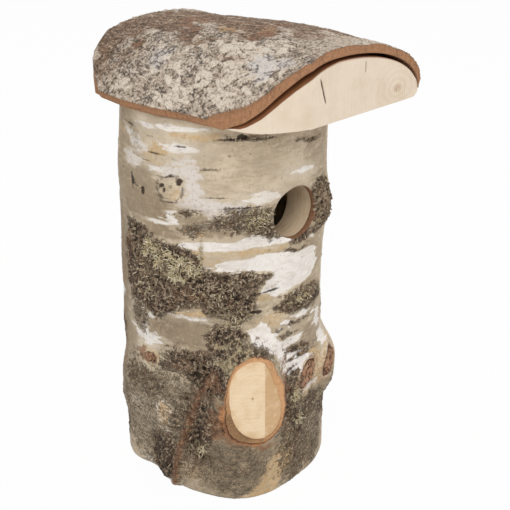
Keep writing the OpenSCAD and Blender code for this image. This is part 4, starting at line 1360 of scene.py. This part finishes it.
def make_roof_bark(sizes, material):
    step = sizes.step / MM
    rows, columns = int(159 / step), int(184 / step)
    x, y, z, t = roof_grid(0, roof_outer, rows, columns)
    base = np.stack([x, y, z], -1)
    normal = grid_normals(base)
    across = np.cumsum(np.hypot(np.diff(x, axis=1, prepend=x[:, :1]),
                                np.diff(z, axis=1, prepend=z[:, :1])), 1)
    across = across + x[:, :1]
    flat = 0 * y
    bend = rough_noise(across / 11, y / 11, flat, 3, 81)
    bend_two = rough_noise(across / 11, y / 11, flat + 40, 3, 82)
    long_share = unit((t - 76) / 34)
    # pale blocks stand proud of a fine, speckled ground, most of them low on the left flank
    first, second, pick = cells(across / 5.8 + 0.7 * bend, y / 7.8 + 0.7 * bend_two, 91)
    crowd = spots_on_roof(x, y, ROOF_BLOCKS, bend * 0.5, 16)
    proud = unit((pick - 0.8 + 0.5 * crowd) * 4)
    worn_edge = rough_noise(across / 1.9, y / 2.3, flat, 3, 97)
    blocks = unit((second - first - 0.05 + 0.11 * worn_edge) / 0.26) ** 0.7 * proud
    first, second, tone = cells(across / 3.0 + 0.8 * bend, y / 4.2 + 0.8 * bend_two, 95)
    small = unit((second - first) / 0.35) * (0.25 + 0.75 * tone)
    along = np.minimum(1, 3.0 * np.abs(rough_noise(across / 3.6 + 0.4 * bend, y / 12, flat, 3, 92)))
    cracks = rough_noise(across / 7 + 0.3 * bend, y / 6 + 0.4 * bend_two, flat, 4, 94)
    cracks = np.minimum(1, 3.4 * np.abs(cracks))
    grains = rough_noise(across / 1.25, y / 1.25, flat, 2, 96)
    flakes = 0.7 * blocks + 0.3 * small + 0.3 * grains
    fissures = along * (0.4 + 0.6 * cracks) * 1.1 + 0.12 * grains
    crumbs = unit(0.5 + 0.8 * rough_noise(across / 2.4, y / 3.0, flat, 3, 93))
    rag = rough_noise(across / 6, y / 8, flat, 4, 83)
    brown = spots_on_roof(x, y, ROOF_BROWN, rag, 6)
    red = spots_on_roof(x, y, ROOF_RED, rag, 4)
    pale = spots_on_roof(x, y, ROOF_PALE, rag, 6)
    ochre = spots_on_roof(x, y, ROOF_OCHRE, rag, 4)
    plates = flakes * (1 - long_share) + fissures * long_share
    height = sizes.flake_height / MM
    calm = 1 - 0.45 * brown
    grain = 0.68 * plates + 0.32 * crumbs
    relief = height * (grain - 0.35) * calm * (1 - 0.3 * long_share) - 0.5 * brown
    relief = relief + 0.8 * rough_noise(across / 24, y / 24, flat, 2, 87) - 0.35
    # the tone mark follows the flakes' relief; the finish paints the crevice colour, as shade, where it is
    # low
    tone_mark = unit(grain)
    outer = base + normal * relief[..., None]
    ux, uy, uz, _ = roof_grid(0, roof_under, rows, columns)
    under = np.stack([ux, uy, uz], -1)
    points = [outer.reshape(-1, 3), under.reshape(-1, 3)]
    n = rows * columns
    faces = [grid_faces(rows, columns, 0, flip=False), grid_faces(rows, columns, n, flip=True)]
    border = edge_order(rows, columns)
    first_loop, last_loop = border, border + n
    flat_outer, flat_under = points[0][border], points[1][border]
    corner = np.stack([flat_outer[:, 0], flat_outer[:, 1], flat_under[:, 2]], -1)
    sawn = unit((np.abs(flat_outer[:, 1] + 13.5) - 58) / 20)[:, None]
    corner = corner * (1 - sawn) + (flat_outer + flat_under) / 2 * sawn
    middle = np.array([3.0, -10.0])
    inwards = middle - flat_outer[:, :2]
    inwards = inwards / np.linalg.norm(inwards, axis=1, keepdims=True)
    count = 2 * n
    marks = {"tone": tone_mark, "brown": brown, "red": red, "pale": pale, "ochre": ochre,
             "long": long_share, "flake": blocks * (1 - 0.7 * long_share) + 0.3 * cracks * long_share}
    marks = {key: [value.reshape(-1), np.zeros(n)] for key, value in marks.items()}
    marks["cut"] = [np.zeros(n), np.full(n, 0.75)]
    marks["through"] = [np.zeros(n), np.ones(n)]
    loop = first_loop
    steps = 8
    for k in range(1, steps):
        w = k / steps
        p = (1 - w) ** 2 * flat_outer + 2 * w * (1 - w) * corner + w * w * flat_under
        dent = 0.22 + 0.3 * rough_noise(flat_outer[:, 0] / 1.2, flat_outer[:, 1] / 1.2, p[:, 2] / 1.2, 2, 88)
        p[:, :2] += inwards * unit(dent)[:, None] * min(1, 4 * w * (1 - w))
        points.append(p)
        ring = np.arange(count, count + len(border))
        faces.append(band(loop, ring))
        loop = ring
        count += len(border)
        for key in marks:
            fill = {"cut": 1.0, "through": w}.get(key, 0.0)
            marks[key].append(np.full(len(border), fill))
    faces.append(band(loop, last_loop))
    marks = {key: np.concatenate(value) for key, value in marks.items()}
    return build_piece("roof_bark_sheet", np.concatenate(points), one_list(faces),
                       ["roof_bark"], marks, material, 75)


def roof_bark_finish(c):
    f = Finish("roof_bark")
    where = f.place()
    fine = f.grain(where, 0.9, 5, 0.72)
    crumb = f.grain(where, 2.4, 5, 0.7)
    speck = f.grain(where, 1.3, 2, 0.6)
    cloud = f.grain(where, 15, 4, 0.62)
    along = f.grain(f.place((1, 0.18, 1)), 2.0, 5, 0.7)
    tone, brown = f.mark("tone"), f.mark("brown")
    long_share, through = f.mark("long"), f.mark("through")
    ground = f.coat(c.ground_dark, c.ground, speck * 0.5 + crumb * 0.3 + tone * 0.2, 0.36, 0.56)
    ground = f.coat(ground, c.flake, speck * 0.6 + crumb * 0.4, 0.52, 0.62, 0.8)
    ground = f.coat(ground, c.flake_warm, cloud, 0.44, 0.6, 0.45)
    pale = f.coat(c.flake_warm, c.flake, cloud * 0.4 + speck * 0.6, 0.40, 0.52)
    block_share = f.crisp(f.mark("flake"), speck * 0.5 + crumb * 0.5, 2.3, 2.4)
    diagonal = f.grain(f.leaning((1, 5, 1), (0, 0, 0.65)), 1.8, 4, 0.68)
    hair = diagonal * 0.45 + along * 0.25 + speck * 0.3
    worn = f.coat(darker(c.brown, 0.5), c.brown, hair, 0.40, 0.50)
    worn = f.coat(worn, c.flake_warm, hair, 0.50, 0.60)
    worn = f.blend(worn, c.red_brown, f.crisp(f.mark("red"), crumb, 1.6, 2.2) * 0.8)
    worn = f.blend(worn, c.ochre, f.crisp(f.mark("ochre"), crumb, 1.6, 2.2) * 0.75)
    share = f.crisp(brown * 1.2 + long_share * 0.2, diagonal * 0.6 + cloud * 0.4, 2.4, 2.4)
    skin = f.blend(ground, worn, share * 0.95)
    skin = f.blend(skin, pale, block_share * (0.95 - share * 0.5))
    skin = f.blend(skin, c.lilac, f.crisp(f.mark("pale"), crumb * 0.5 + speck * 0.5, 2.0, 1.6) * 0.6)
    skin = f.blend(skin, c.flake, f.levels(along * 0.5 + fine * 0.5, 0.54, 0.66) * long_share * 0.6)
    # painted shade: the crevice colour goes where the tone mark, which follows the flakes' relief, is low
    deep = f.levels(tone * 0.5 + speck * 0.5, 0.41, 0.26)
    base = f.blend(skin, c.crevice_dark_and_shade, deep * 0.8)
    base = f.coat(base, darker(c.crevice_dark_and_shade, 0.6), fine, 0.59, 0.67, 0.85)
    rift = f.threads(f.grain(f.place((1, 0.3, 1)), 4.6, 3, 0.6), 0.02) * (0.15 + long_share * 0.6)
    base = f.blend(base, darker(c.crevice_dark_and_shade, 0.5), rift)
    edge = f.coat(c.edge, darker(c.edge, 0.6), fine * 0.6 + crumb * 0.4, 0.46, 0.62)
    edge = f.coat(edge, darker(c.edge, 0.5), through, 0.25, 0.0, 0.6)
    edge = f.coat(edge, darker(c.edge, 0.55), through, 0.8, 1.0, 0.5)
    base = f.coat(base, edge, f.mark("cut"), 0.2, 0.75)
    split = f.threads(f.grain(f.place((1, 1, 0.1)), 8, 2, 0.5), 0.012)
    split = split * f.levels(f.mark("cut"), 0.5, 0.9)
    base = f.blend(base, darker(c.edge, 0.3), split * 0.4)
    return f.surface(base, 0.88, fine * 0.9 + crumb * 0.8 + along * 0.4, 0.6, 0.2)


def make_roof_wood(material):
    """The half-round slab with its saw-cut faces, two drying cracks in the front one."""
    rows, columns, steps = 46, 260, 30
    x, y, z, _ = roof_grid(0.8, roof_wood, rows, columns)
    top = np.stack([x, y, np.maximum(z, LOG_HEIGHT + 0.7)], -1)
    low = np.stack([x, y, np.full_like(x, LOG_HEIGHT)], -1)
    n = rows * columns
    points = [top.reshape(-1, 3), low.reshape(-1, 3)]
    faces = [grid_faces(rows, columns, 0, flip=False), grid_faces(rows, columns, n, flip=True)]
    border = edge_order(rows, columns)
    upper, lower = points[0][border], points[1][border]
    count = 2 * n
    loop = border
    crown, crack = [np.ones(n), np.zeros(n)], [np.zeros(n), np.zeros(n)]
    right = ROOF_HIGH[0] * lookup(upper[:, 1] / ROOF_REACH, RIGHT_EDGE)
    for k in range(1, steps):
        w = (k / steps) ** (1.0 if k < steps - 6 else 0.92)
        p = upper * (1 - w) + lower * w
        above = p[:, 2] - LOG_HEIGHT
        foot = np.interp(above, (0, 0.7, 2, 4.5), (6, 4.2, 2.6, 0.6))
        p[:, 0] = np.where(p[:, 0] > 40, np.minimum(p[:, 0], right - foot - 0.2), p[:, 0])
        is_front = p[:, 1] < -ROOF_REACH + 2
        line = p[:, 0] + 13.1 - 0.31 * (26.5 - above)
        split = hill(line, 0.5) * unit((above - 11) / 3) * unit((28 - above) / 3)
        line_two = p[:, 0] - 24.4
        split = np.maximum(split, 0.6 * hill(line_two, 0.4) * (above > 23.5) * (above < 29.5))
        saw = 0.04 * np.sin(p[:, 0] * 3.3 + 0.4 * rough_noise(p[:, 0] / 5, above / 30, 0 * above, 2, 97))
        p[:, 1] += np.where(is_front, 1.6 * split + saw, 0)
        points.append(p)
        ring = np.arange(count, count + len(border))
        faces.append(band(loop, ring))
        loop = ring
        count += len(border)
        crown.append(np.zeros(len(border)))
        crack.append(np.where(is_front, split, 0))
    low_points = points[1]
    low_right = np.max(low_points[:, 0])
    low_points[:, 0] = np.minimum(low_points[:, 0], low_right - 6)
    lower_loop = border + n
    faces.append(band(loop, lower_loop))
    return build_piece("roof_slab_wood", np.concatenate(points), one_list(faces),
                       ["roof_slab"], {"crown": np.concatenate(crown), "crack": np.concatenate(crack)},
                       material, 35)


def roof_wood_finish(c):
    f = Finish("roof_end_grain")
    where = f.place()
    fine = f.grain(where, 0.8, 4, 0.65)
    cloud = f.grain(where, 16, 4, 0.55)
    upright = f.grain(f.place((1, 1, 0.12)), 3.2, 4, 0.6)
    level = f.grain(f.place((0.12, 1, 1)), 2.4, 4, 0.6)
    across = f.axis(where, 0)
    up = f.axis(where, 2)
    knot_x, knot_z = across - 0.0531, up - (LOG_HEIGHT + 8.5) * MM
    knot = (knot_x * knot_x * 0.5 + knot_z * knot_z) ** 0.5
    rings = (knot * 1700 + cloud * 9).wave() * 0.5 + 0.5
    base = f.coat(c.wood, c.wood_line, cloud * 0.6 + fine * 0.2 + upright * 0.2, 0.47, 0.66, 0.6)
    base = f.blend(base, c.wood_line, f.threads(upright, 0.03) * 0.1 + f.threads(level, 0.024) * 0.16)
    base = f.blend(base, c.wood_line, rings * f.levels(knot, 0.022, 0.0) * 0.55)
    base = f.blend(base, c.top, f.levels(knot, 0.0035, 0.0008) * f.levels(fine, 0.35, 0.6) * 0.6)
    base = f.blend(base, f.blend(c.top, darker(c.top, 0.5), upright), f.mark("crown"))
    # painted shade: the drying cracks are painted near black inside their groove
    base = f.coat(base, darker(c.top, 0.14), f.mark("crack"), 0.15, 0.6)
    return f.surface(base, 0.6 + fine * 0.1, fine * 0.3 + upright * 0.2, 0.12, 0.3)


def log_wood_finish(c):
    f = Finish("log_wood")
    where = f.place()
    fine = f.grain(where, 0.9, 4, 0.6)
    cloud = f.grain(where, 14, 4, 0.55)
    upright = f.grain(f.place((1, 1, 0.08)), 1.6, 4, 0.6)
    across = f.axis(where, 0)
    along = f.axis(where, 1)
    reach = (across * across + along * along) ** 0.5
    rings = (reach * 2100 + cloud * 7).wave() * 0.5 + 0.5
    normal = f.node("ShaderNodeTexCoord", out="Normal")
    facing = f.axis(normal, 2)
    flat = f.levels(facing * facing, 0.4, 0.8)
    grain = upright * (1 - flat) + (rings * 0.2 + fine * 0.4 + 0.2) * flat
    base = f.coat(c.hollow, c.hollow_line, grain * 0.6 + cloud * 0.4, 0.44, 0.64, 0.8)
    return f.surface(base, 0.75, grain, 0.2, 0.25)


# ---------------------------------------------------------------- small growths

def rods(paths, radii, sides=3):
    """Closed tapering rods along paths, as one set of points and faces."""
    points, faces, share = [], [], []
    count = 0
    for path, radius in zip(paths, radii):
        path = np.asarray(path)
        run = np.gradient(path, axis=0)
        run = run / np.maximum(np.linalg.norm(run, axis=1, keepdims=True), 1e-9)
        side = np.cross(run, np.array([0.3, 0.2, 0.93]))
        side = side / np.maximum(np.linalg.norm(side, axis=1, keepdims=True), 1e-9)
        up = np.cross(side, run)
        n = len(path)
        for k in range(n):
            w = k / (n - 1)
            for i in range(sides):
                turn = 2 * math.pi * i / sides
                outward = math.cos(turn) * side[k] + math.sin(turn) * up[k]
                points.append(path[k] + radius * (1 - 0.65 * w) * outward)
                share.append(w)
        for k in range(n - 1):
            for i in range(sides):
                j = (i + 1) % sides
                a, b = count + k * sides + i, count + k * sides + j
                faces.append((a, b, b + sides, a + sides))
        faces.append(tuple(count + i for i in range(sides - 1, -1, -1)))
        faces.append(tuple(count + (n - 1) * sides + i for i in range(sides)))
        count += n * sides
    return np.array(points), faces, np.array(share)


# lichen tufts: angle, height, spread of angle, spread of height, strands, length
TUFTS = (
    (-86, 164, 1.8, 2.4, 34, 4.6), (-88, 158, 2.0, 2.4, 32, 4.4), (-81, 161, 1.6, 2.0, 22, 4.2),
    (-80, 153, 2.2, 2.6, 36, 4.6), (-73, 160, 2.0, 2.2, 40, 4.6), (-67, 157, 2.2, 2.2, 44, 4.6),
    (-62, 154, 2.0, 2.4, 40, 4.4), (-70, 153, 2.2, 2.2, 36, 4.6), (-58, 151, 1.8, 2.6, 26, 4.0),
    (-71, 147, 1.8, 1.6, 40, 4.8), (-66, 146, 1.6, 1.4, 26, 4.4), (-55.6, 166, 0.6, 5, 36, 2.0),
    (-55.6, 157, 0.6, 4, 26, 2.0), (-44, 95, 2.2, 2.8, 90, 2.8), (-19, 92, 2.0, 2.6, 50, 2.8),
    (-56, 33, 2.0, 3, 26, 3.2), (-5, 63, 2.2, 3.2, 60, 3.0), (-2, 44, 3, 5, 40, 2.8),
    (-34, 101, 8, 3, 60, 2.6), (-25, 184, 6, 5, 70, 2.2), (-40, 120, 9, 5, 60, 2.2),
    (2, 126, 9, 3, 50, 2.2), (-50, 138, 12, 8, 60, 2.2), (-90, 140, 6, 12, 50, 2.2),
    (128, 132, 8, 4, 90, 4.4), (-158, 142, 5, 5, 60, 3.6), (86, 150, 5, 4, 50, 4.4))


def make_lichen(material):
    pick = np.random.default_rng(77)
    paths, radii, pale = [], [], []
    for angle, height, wide, tall, count, reach in TUFTS:
        for _ in range(count):
            a0, z0 = angle + wide * pick.normal(0, 0.6), height + tall * pick.normal(0, 0.6)
            heading = pick.uniform(0, 2 * math.pi)
            long = reach * pick.uniform(0.4, 1.0)
            lift = pick.uniform(0.5, 1.6)
            path = []
            out = pick.uniform(0.4, 1.2)
            for _ in range(6):
                path.append(log_point(a0, z0, out))
                heading += pick.normal(0, 0.8)
                a0 += math.cos(heading) * long / 5 / GROWTH_DEGREE
                z0 += math.sin(heading) * long / 5
                out += lift * pick.uniform(-0.1, 0.7)
            paths.append(path)
            radii.append(pick.uniform(0.3, 0.55) * min(1.0, 0.45 + reach / 8))
            pale.append(pick.uniform(0, 1))
    points, faces, share = rods(paths, radii)
    each = np.repeat(np.array(pale), 18)
    return build_piece("lichen_tufts", points, faces, (), {"tip": share, "pale": each},
                       material)


def lichen_finish(c):
    f = Finish("lichen")
    fine = f.grain(f.place(), 1.4, 3, 0.6)
    # painted shade: each strand is painted darker at its foot on the bark and turns paler towards its tip
    base = f.coat(darker(c.lichen, 0.6), c.lichen, f.mark("tip") + fine * 0.4, 0.1, 0.5)
    base = f.coat(base, c.lichen_pale, f.mark("pale") * 0.7 + f.mark("tip") * 0.4, 0.45, 0.95)
    return f.surface(base, 0.9, fine, 0.2, 0.15)


# places for loose crust scales: angle, height, half angle, half height, count
SCALE_BEDS = (
    (-92, 150, 9, 22, 110), (-76, 140, 15, 16, 130), (-44, 136, 15, 12, 130), (-53, 84, 10, 14, 80),
    (-43, 108, 8, 8, 50), (20, 183, 9, 13, 90), (-30, 182, 11, 8, 60), (2, 127, 15, 5, 60),
    (-60, 45, 9, 24, 60), (-86, 20, 12, 16, 60), (-97, 68, 14, 9, 50), (-6, 50, 8, 24, 60),
    (70, 142, 20, 9, 90), (150, 128, 22, 11, 90), (-154, 148, 9, 12, 60), (118, 84, 14, 8, 50),
    (-165, 60, 18, 14, 70), (100, 26, 20, 18, 70), (145, 34, 20, 20, 70))


def make_scales(material):
    """Loose scales of crust that stand a little off the rough bark."""
    pick = np.random.default_rng(31)
    points, faces, shade = [], [], []
    count = 0
    for angle, height, wide, tall, many in SCALE_BEDS:
        for _ in range(many):
            a0 = angle + wide * pick.uniform(-1, 1)
            z0 = height + tall * pick.uniform(-1, 1)
            if not 3 < z0 < LOG_HEIGHT - 3:
                continue
            spin = pick.uniform(0, math.pi)
            long, broad = pick.uniform(0.7, 1.9), pick.uniform(0.35, 0.8)
            tilt_u, tilt_v = pick.normal(0, 0.35), pick.normal(0, 0.5)
            corners = 7
            tone = pick.uniform(0, 1)
            base_out = pick.uniform(0.3, 1.2)
            for level, shrink in ((-0.9, 1.0), (0.0, 1.0), (0.3, 0.75)):
                for i in range(corners):
                    turn = 2 * math.pi * i / corners
                    r = shrink * (1 + 0.28 * math.sin(3 * turn + spin * 5)
                                  + 0.15 * math.cos(5 * turn + tone * 9))
                    du, dv = long * r * math.cos(turn), broad * r * math.sin(turn)
                    u = du * math.cos(spin) - dv * math.sin(spin)
                    v = du * math.sin(spin) + dv * math.cos(spin)
                    out = base_out + level + (tilt_u * u + tilt_v * v if level > -0.5 else 0)
                    points.append(log_point(a0 + u / GROWTH_DEGREE, z0 + v, out))
                    shade.append(tone)
            for row in range(2):
                for i in range(corners):
                    j = (i + 1) % corners
                    b = count + row * corners
                    faces.append((b + i, b + j, b + corners + j, b + corners + i))
            faces.append(tuple(count + i for i in range(corners - 1, -1, -1)))
            faces.append(tuple(count + 2 * corners + i for i in range(corners)))
            count += 3 * corners
    return build_piece("bark_scales", points, faces, (), {"shade": shade}, material, 40)


def scale_finish(c):
    f = Finish("bark_scales")
    where = f.place()
    fine = f.grain(where, 0.9, 4, 0.65)
    base = f.coat(c.crust, darker(c.crust, 0.5), fine, 0.4, 0.7)
    base = f.coat(base, c.crust_light, f.mark("shade") * 0.5 + fine * 0.8, 0.62, 1.0, 0.7)
    return f.surface(base, 0.9, fine, 0.35, 0.2)


# peeling strips of paper bark: angle, height, length, width, lift
PEELS = (
    (-50, 153.8, 9, 1.4, 1.0), (-36, 151.4, 8, 1.2, 0.9), (-64, 121.2, 8, 1.3, 1.0),
    (-56, 121.0, 6, 1.0, 0.8), (-25, 173.8, 8, 1.2, 0.8), (-90, 118.6, 6, 1.4, 0.9),
    (-86, 103.4, 7, 1.4, 1.0), (-20, 139.2, 6, 1.4, 1.1), (-28, 113, 5, 1.2, 0.9), (5, 119.8, 5, 1.1, 0.8),
    (-76, 182.4, 9, 1.2, 0.7), (-62, 229.8, 8, 1.0, 0.6), (-72, 239.6, 9, 1.2, 0.8),
    (90, 182, 10, 1.4, 1.0), (140, 171, 9, 1.3, 0.9), (100, 122, 9, 1.3, 0.9), (-158, 123, 9, 1.3, 1.0),
    (160, 108, 7, 1.3, 0.9))


def make_peels(material):
    """Thin curling strips at the edges of the paper bark."""
    pick = np.random.default_rng(19)
    points, faces, count = [], [], 0
    n = 14
    for angle, height, long, wide, lift in PEELS:
        for part in range(3):
            a0 = angle + pick.uniform(-4, 4)
            z0 = height + pick.uniform(-1.0, 0.8)
            reach = long * pick.uniform(0.35, 0.8)
            broad = wide * pick.uniform(0.5, 1.0)
            thick = 0.14
            rows = []
            for k in range(n):
                w = k / (n - 1)
                a = a0 + (w - 0.5) * reach / DEGREE
                body = math.sin(math.pi * min(1, 0.08 + 0.92 * w)) ** 0.6
                curl = lift * body * (0.6 + 0.4 * math.sin(5 * w + part))
                for v, o in ((-0.5, 0.0), (0.5, curl)):
                    for side in (0, thick):
                        rows.append(log_point(a, z0 + v * broad * body, o + side - 0.1))
            for k in range(n - 1):
                b = count + 4 * k
                for i, j in ((0, 1), (1, 3), (3, 2), (2, 0)):
                    faces.append((b + i, b + j, b + 4 + j, b + 4 + i))
            faces.append((count, count + 2, count + 3, count + 1))
            e = count + 4 * (n - 1)
            faces.append((e, e + 1, e + 3, e + 2))
            points += rows
            count += 4 * n
    return build_piece("paper_curls", points, faces, (), {}, material, 60)


def peel_finish(c):
    f = Finish("paper_curls")
    fine = f.grain(f.place((1, 1, 3)), 2.4, 4, 0.6)
    base = f.coat(c.white, c.cream, fine, 0.4, 0.7)
    return f.surface(base, 0.65, fine, 0.2, 0.3)


# ---------------------------------------------------------------- operators

class Step:
    """A step of the build: an operator that hands the settings to its own make."""

    def execute(self, context):
        self.make(context.scene.nest_box)
        return {"FINISHED"}


class NESTBOX_OT_log_bark(Step, bpy.types.Operator):
    """Builds the bark of the log"""
    bl_idname = "nestbox.log_bark"
    bl_label = "Log bark"

    def make(self, c):
        make_log_bark(c.bark, log_bark_finish(c.bark))


class NESTBOX_OT_knots(Step, bpy.types.Operator):
    """Builds the three old knots in the bark"""
    bl_idname = "nestbox.knots"
    bl_label = "Knots"

    def make(self, c):
        material = scar_finish(c.wood)
        for seed, name in enumerate(KNOTS):
            make_scar(name, material, seed + 2)


class NESTBOX_OT_branch_stub(Step, bpy.types.Operator):
    """Builds the sawn branch stub and its ring of bark"""
    bl_idname = "nestbox.branch_stub"
    bl_label = "Branch stub"

    def make(self, c):
        make_stub_wood(stub_finish(c.wood))
        make_stub_bark(ring_finish(c.wood))


class NESTBOX_OT_log_wood(Step, bpy.types.Operator):
    """Gives the bored wood and the floor their finish"""
    bl_idname = "nestbox.log_wood"
    bl_label = "Log wood"

    def make(self, c):
        material = log_wood_finish(c.wood)
        for name in WOOD_NODES + ["floor_disc"]:
            for slot in frame["nodes"][name].material_slots:
                slot.material = material


class NESTBOX_OT_roof_bark(Step, bpy.types.Operator):
    """Builds the thick bark sheet on the roof"""
    bl_idname = "nestbox.roof_bark"
    bl_label = "Roof bark"

    def make(self, c):
        make_roof_bark(c.roof, roof_bark_finish(c.roof))


class NESTBOX_OT_roof_wood(Step, bpy.types.Operator):
    """Builds the half-round slab of the roof"""
    bl_idname = "nestbox.roof_wood"
    bl_label = "Roof wood"

    def make(self, c):
        make_roof_wood(roof_wood_finish(c.roof))


class NESTBOX_OT_growths(Step, bpy.types.Operator):
    """Builds the lichen tufts, loose crust scales and paper curls"""
    bl_idname = "nestbox.growths"
    bl_label = "Lichen, scales and curls"

    def make(self, c):
        make_lichen(lichen_finish(c.wood))
        make_scales(scale_finish(c.bark))
        make_peels(peel_finish(c.bark))


class NESTBOX_OT_stage(Step, bpy.types.Operator):
    """Sets up the floor, the light and the camera"""
    bl_idname = "nestbox.stage"
    bl_label = "Stage"

    def make(self, c):
        make_floor(c.stage)
        make_sky(c.stage)
        make_lamps(c.stage)
        make_camera(c.stage)
        bpy.context.scene.view_settings.view_transform = "Standard"


def make_floor(c):
    half = 6.0
    steps = 24
    x, y = np.meshgrid(np.linspace(-half, half, steps), np.linspace(-half, half, steps))
    points = np.stack([x, y, np.full_like(x, -0.0002)], -1).reshape(-1, 3)
    mesh = bpy.data.meshes.new("floor")
    mesh.from_pydata(points.tolist(), [], [list(map(int, q)) for q in grid_faces(steps, steps)])
    f = Finish("floor")
    grain = f.grain(f.place(), 3.0, 2, 0.5)
    shade = f.blend(c.floor, darker(c.floor, 0.985), grain)
    plain = f.node("ShaderNodeBsdfPrincipled", {}, {"Base Color": shade, "Roughness": 0.9,
                                                    "Specular IOR Level": 0.1})
    glow = f.node("ShaderNodeEmission", {}, {"Color": (1.0, 1.0, 1.0), "Strength": 1.0})
    f.output(f.node("ShaderNodeMixShader", {}, {0: seen_directly(f) * 0.96, 1: plain, 2: glow}))
    mesh.materials.append(f.material)
    floor = bpy.data.objects.new("floor", mesh)
    bpy.context.collection.objects.link(floor)


def seen_directly(f):
    """One where the eye, a mirror or glass looks at a surface, else nothing."""
    rays = [f.node("ShaderNodeLightPath", out=name) for name in
            ("Is Camera Ray", "Is Glossy Ray", "Is Transmission Ray")]
    return (rays[0] + rays[1] + rays[2]).held()


def make_sky(c):
    f = Finish("sky", world=True)
    soft, white = [f.node("ShaderNodeBackground", {}, {"Color": (1.0, 1.0, 1.0), "Strength": strength})
                   for strength in (c.air, 1.0)]
    f.output(f.node("ShaderNodeMixShader", {}, {0: seen_directly(f), 1: soft, 2: white}))
    bpy.context.scene.world = f.material


def make_lamps(c):
    for name, place, size, power in (
            ("key", (-0.75, -0.55, 0.85), 0.7, c.key),
            ("fill", (0.8, -0.6, 0.5), 0.9, c.fill),
            ("back", (0.2, 0.9, 0.9), 0.9, c.fill * 0.7)):
        data = bpy.data.lights.new(name, "AREA")
        data.size = size
        data.energy = power
        lamp = bpy.data.objects.new(name, data)
        lamp.location = MIDDLE + Vector(place)
        lamp.rotation_mode = "QUATERNION"
        lamp.rotation_quaternion = (MIDDLE - lamp.location).to_track_quat("-Z", "Y")
        bpy.context.collection.objects.link(lamp)


AIM_SHIFT = (0.0054, -0.0066, -0.0047)  # metres from the middle of the nest box to the camera's aim


def make_camera(c):
    aim = MIDDLE + Vector(AIM_SHIFT)
    back = Vector((math.sin(c.azimuth) * math.cos(c.elevation),
                   -math.cos(c.azimuth) * math.cos(c.elevation), math.sin(c.elevation)))
    data = bpy.data.cameras.new("camera")
    data.lens = c.lens
    data.sensor_width = 36
    data.clip_start = 0.01
    data.clip_end = 50
    camera = bpy.data.objects.new("camera", data)
    camera.location = aim + back * c.distance
    camera.rotation_euler = (math.pi / 2 - c.elevation, 0, c.azimuth)
    bpy.context.collection.objects.link(camera)
    bpy.context.scene.camera = camera


class NestBoxSettings(bpy.types.PropertyGroup):
    bark: bpy.props.PointerProperty(type=BarkSettings)
    roof: bpy.props.PointerProperty(type=RoofSettings)
    wood: bpy.props.PointerProperty(type=WoodSettings)
    stage: bpy.props.PointerProperty(type=StageSettings)


OPERATORS = (NESTBOX_OT_log_bark, NESTBOX_OT_knots, NESTBOX_OT_branch_stub, NESTBOX_OT_log_wood,
             NESTBOX_OT_roof_bark, NESTBOX_OT_roof_wood, NESTBOX_OT_growths, NESTBOX_OT_stage)


class NESTBOX_PT_panel(bpy.types.Panel):
    """Lists the steps that build the nest box"""
    bl_idname = "NESTBOX_PT_panel"
    bl_label = "Nest box"
    bl_space_type = "VIEW_3D"
    bl_region_type = "UI"
    bl_category = "Nest box"

    def draw(self, context):
        for operator in OPERATORS:
            self.layout.operator(operator.bl_idname)


CLASSES = (BarkSettings, RoofSettings, WoodSettings, StageSettings, NestBoxSettings,
           *OPERATORS, NESTBOX_PT_panel)


def register():
    for cls in CLASSES:
        bpy.utils.register_class(cls)
    bpy.types.Scene.nest_box = bpy.props.PointerProperty(type=NestBoxSettings)


def unregister():
    del bpy.types.Scene.nest_box
    for cls in reversed(CLASSES):
        bpy.utils.unregister_class(cls)


def main():
    register()
    for operator in OPERATORS:
        group, name = operator.bl_idname.split(".")
        getattr(getattr(bpy.ops, group), name)()


if __name__ == "__main__":
    main()
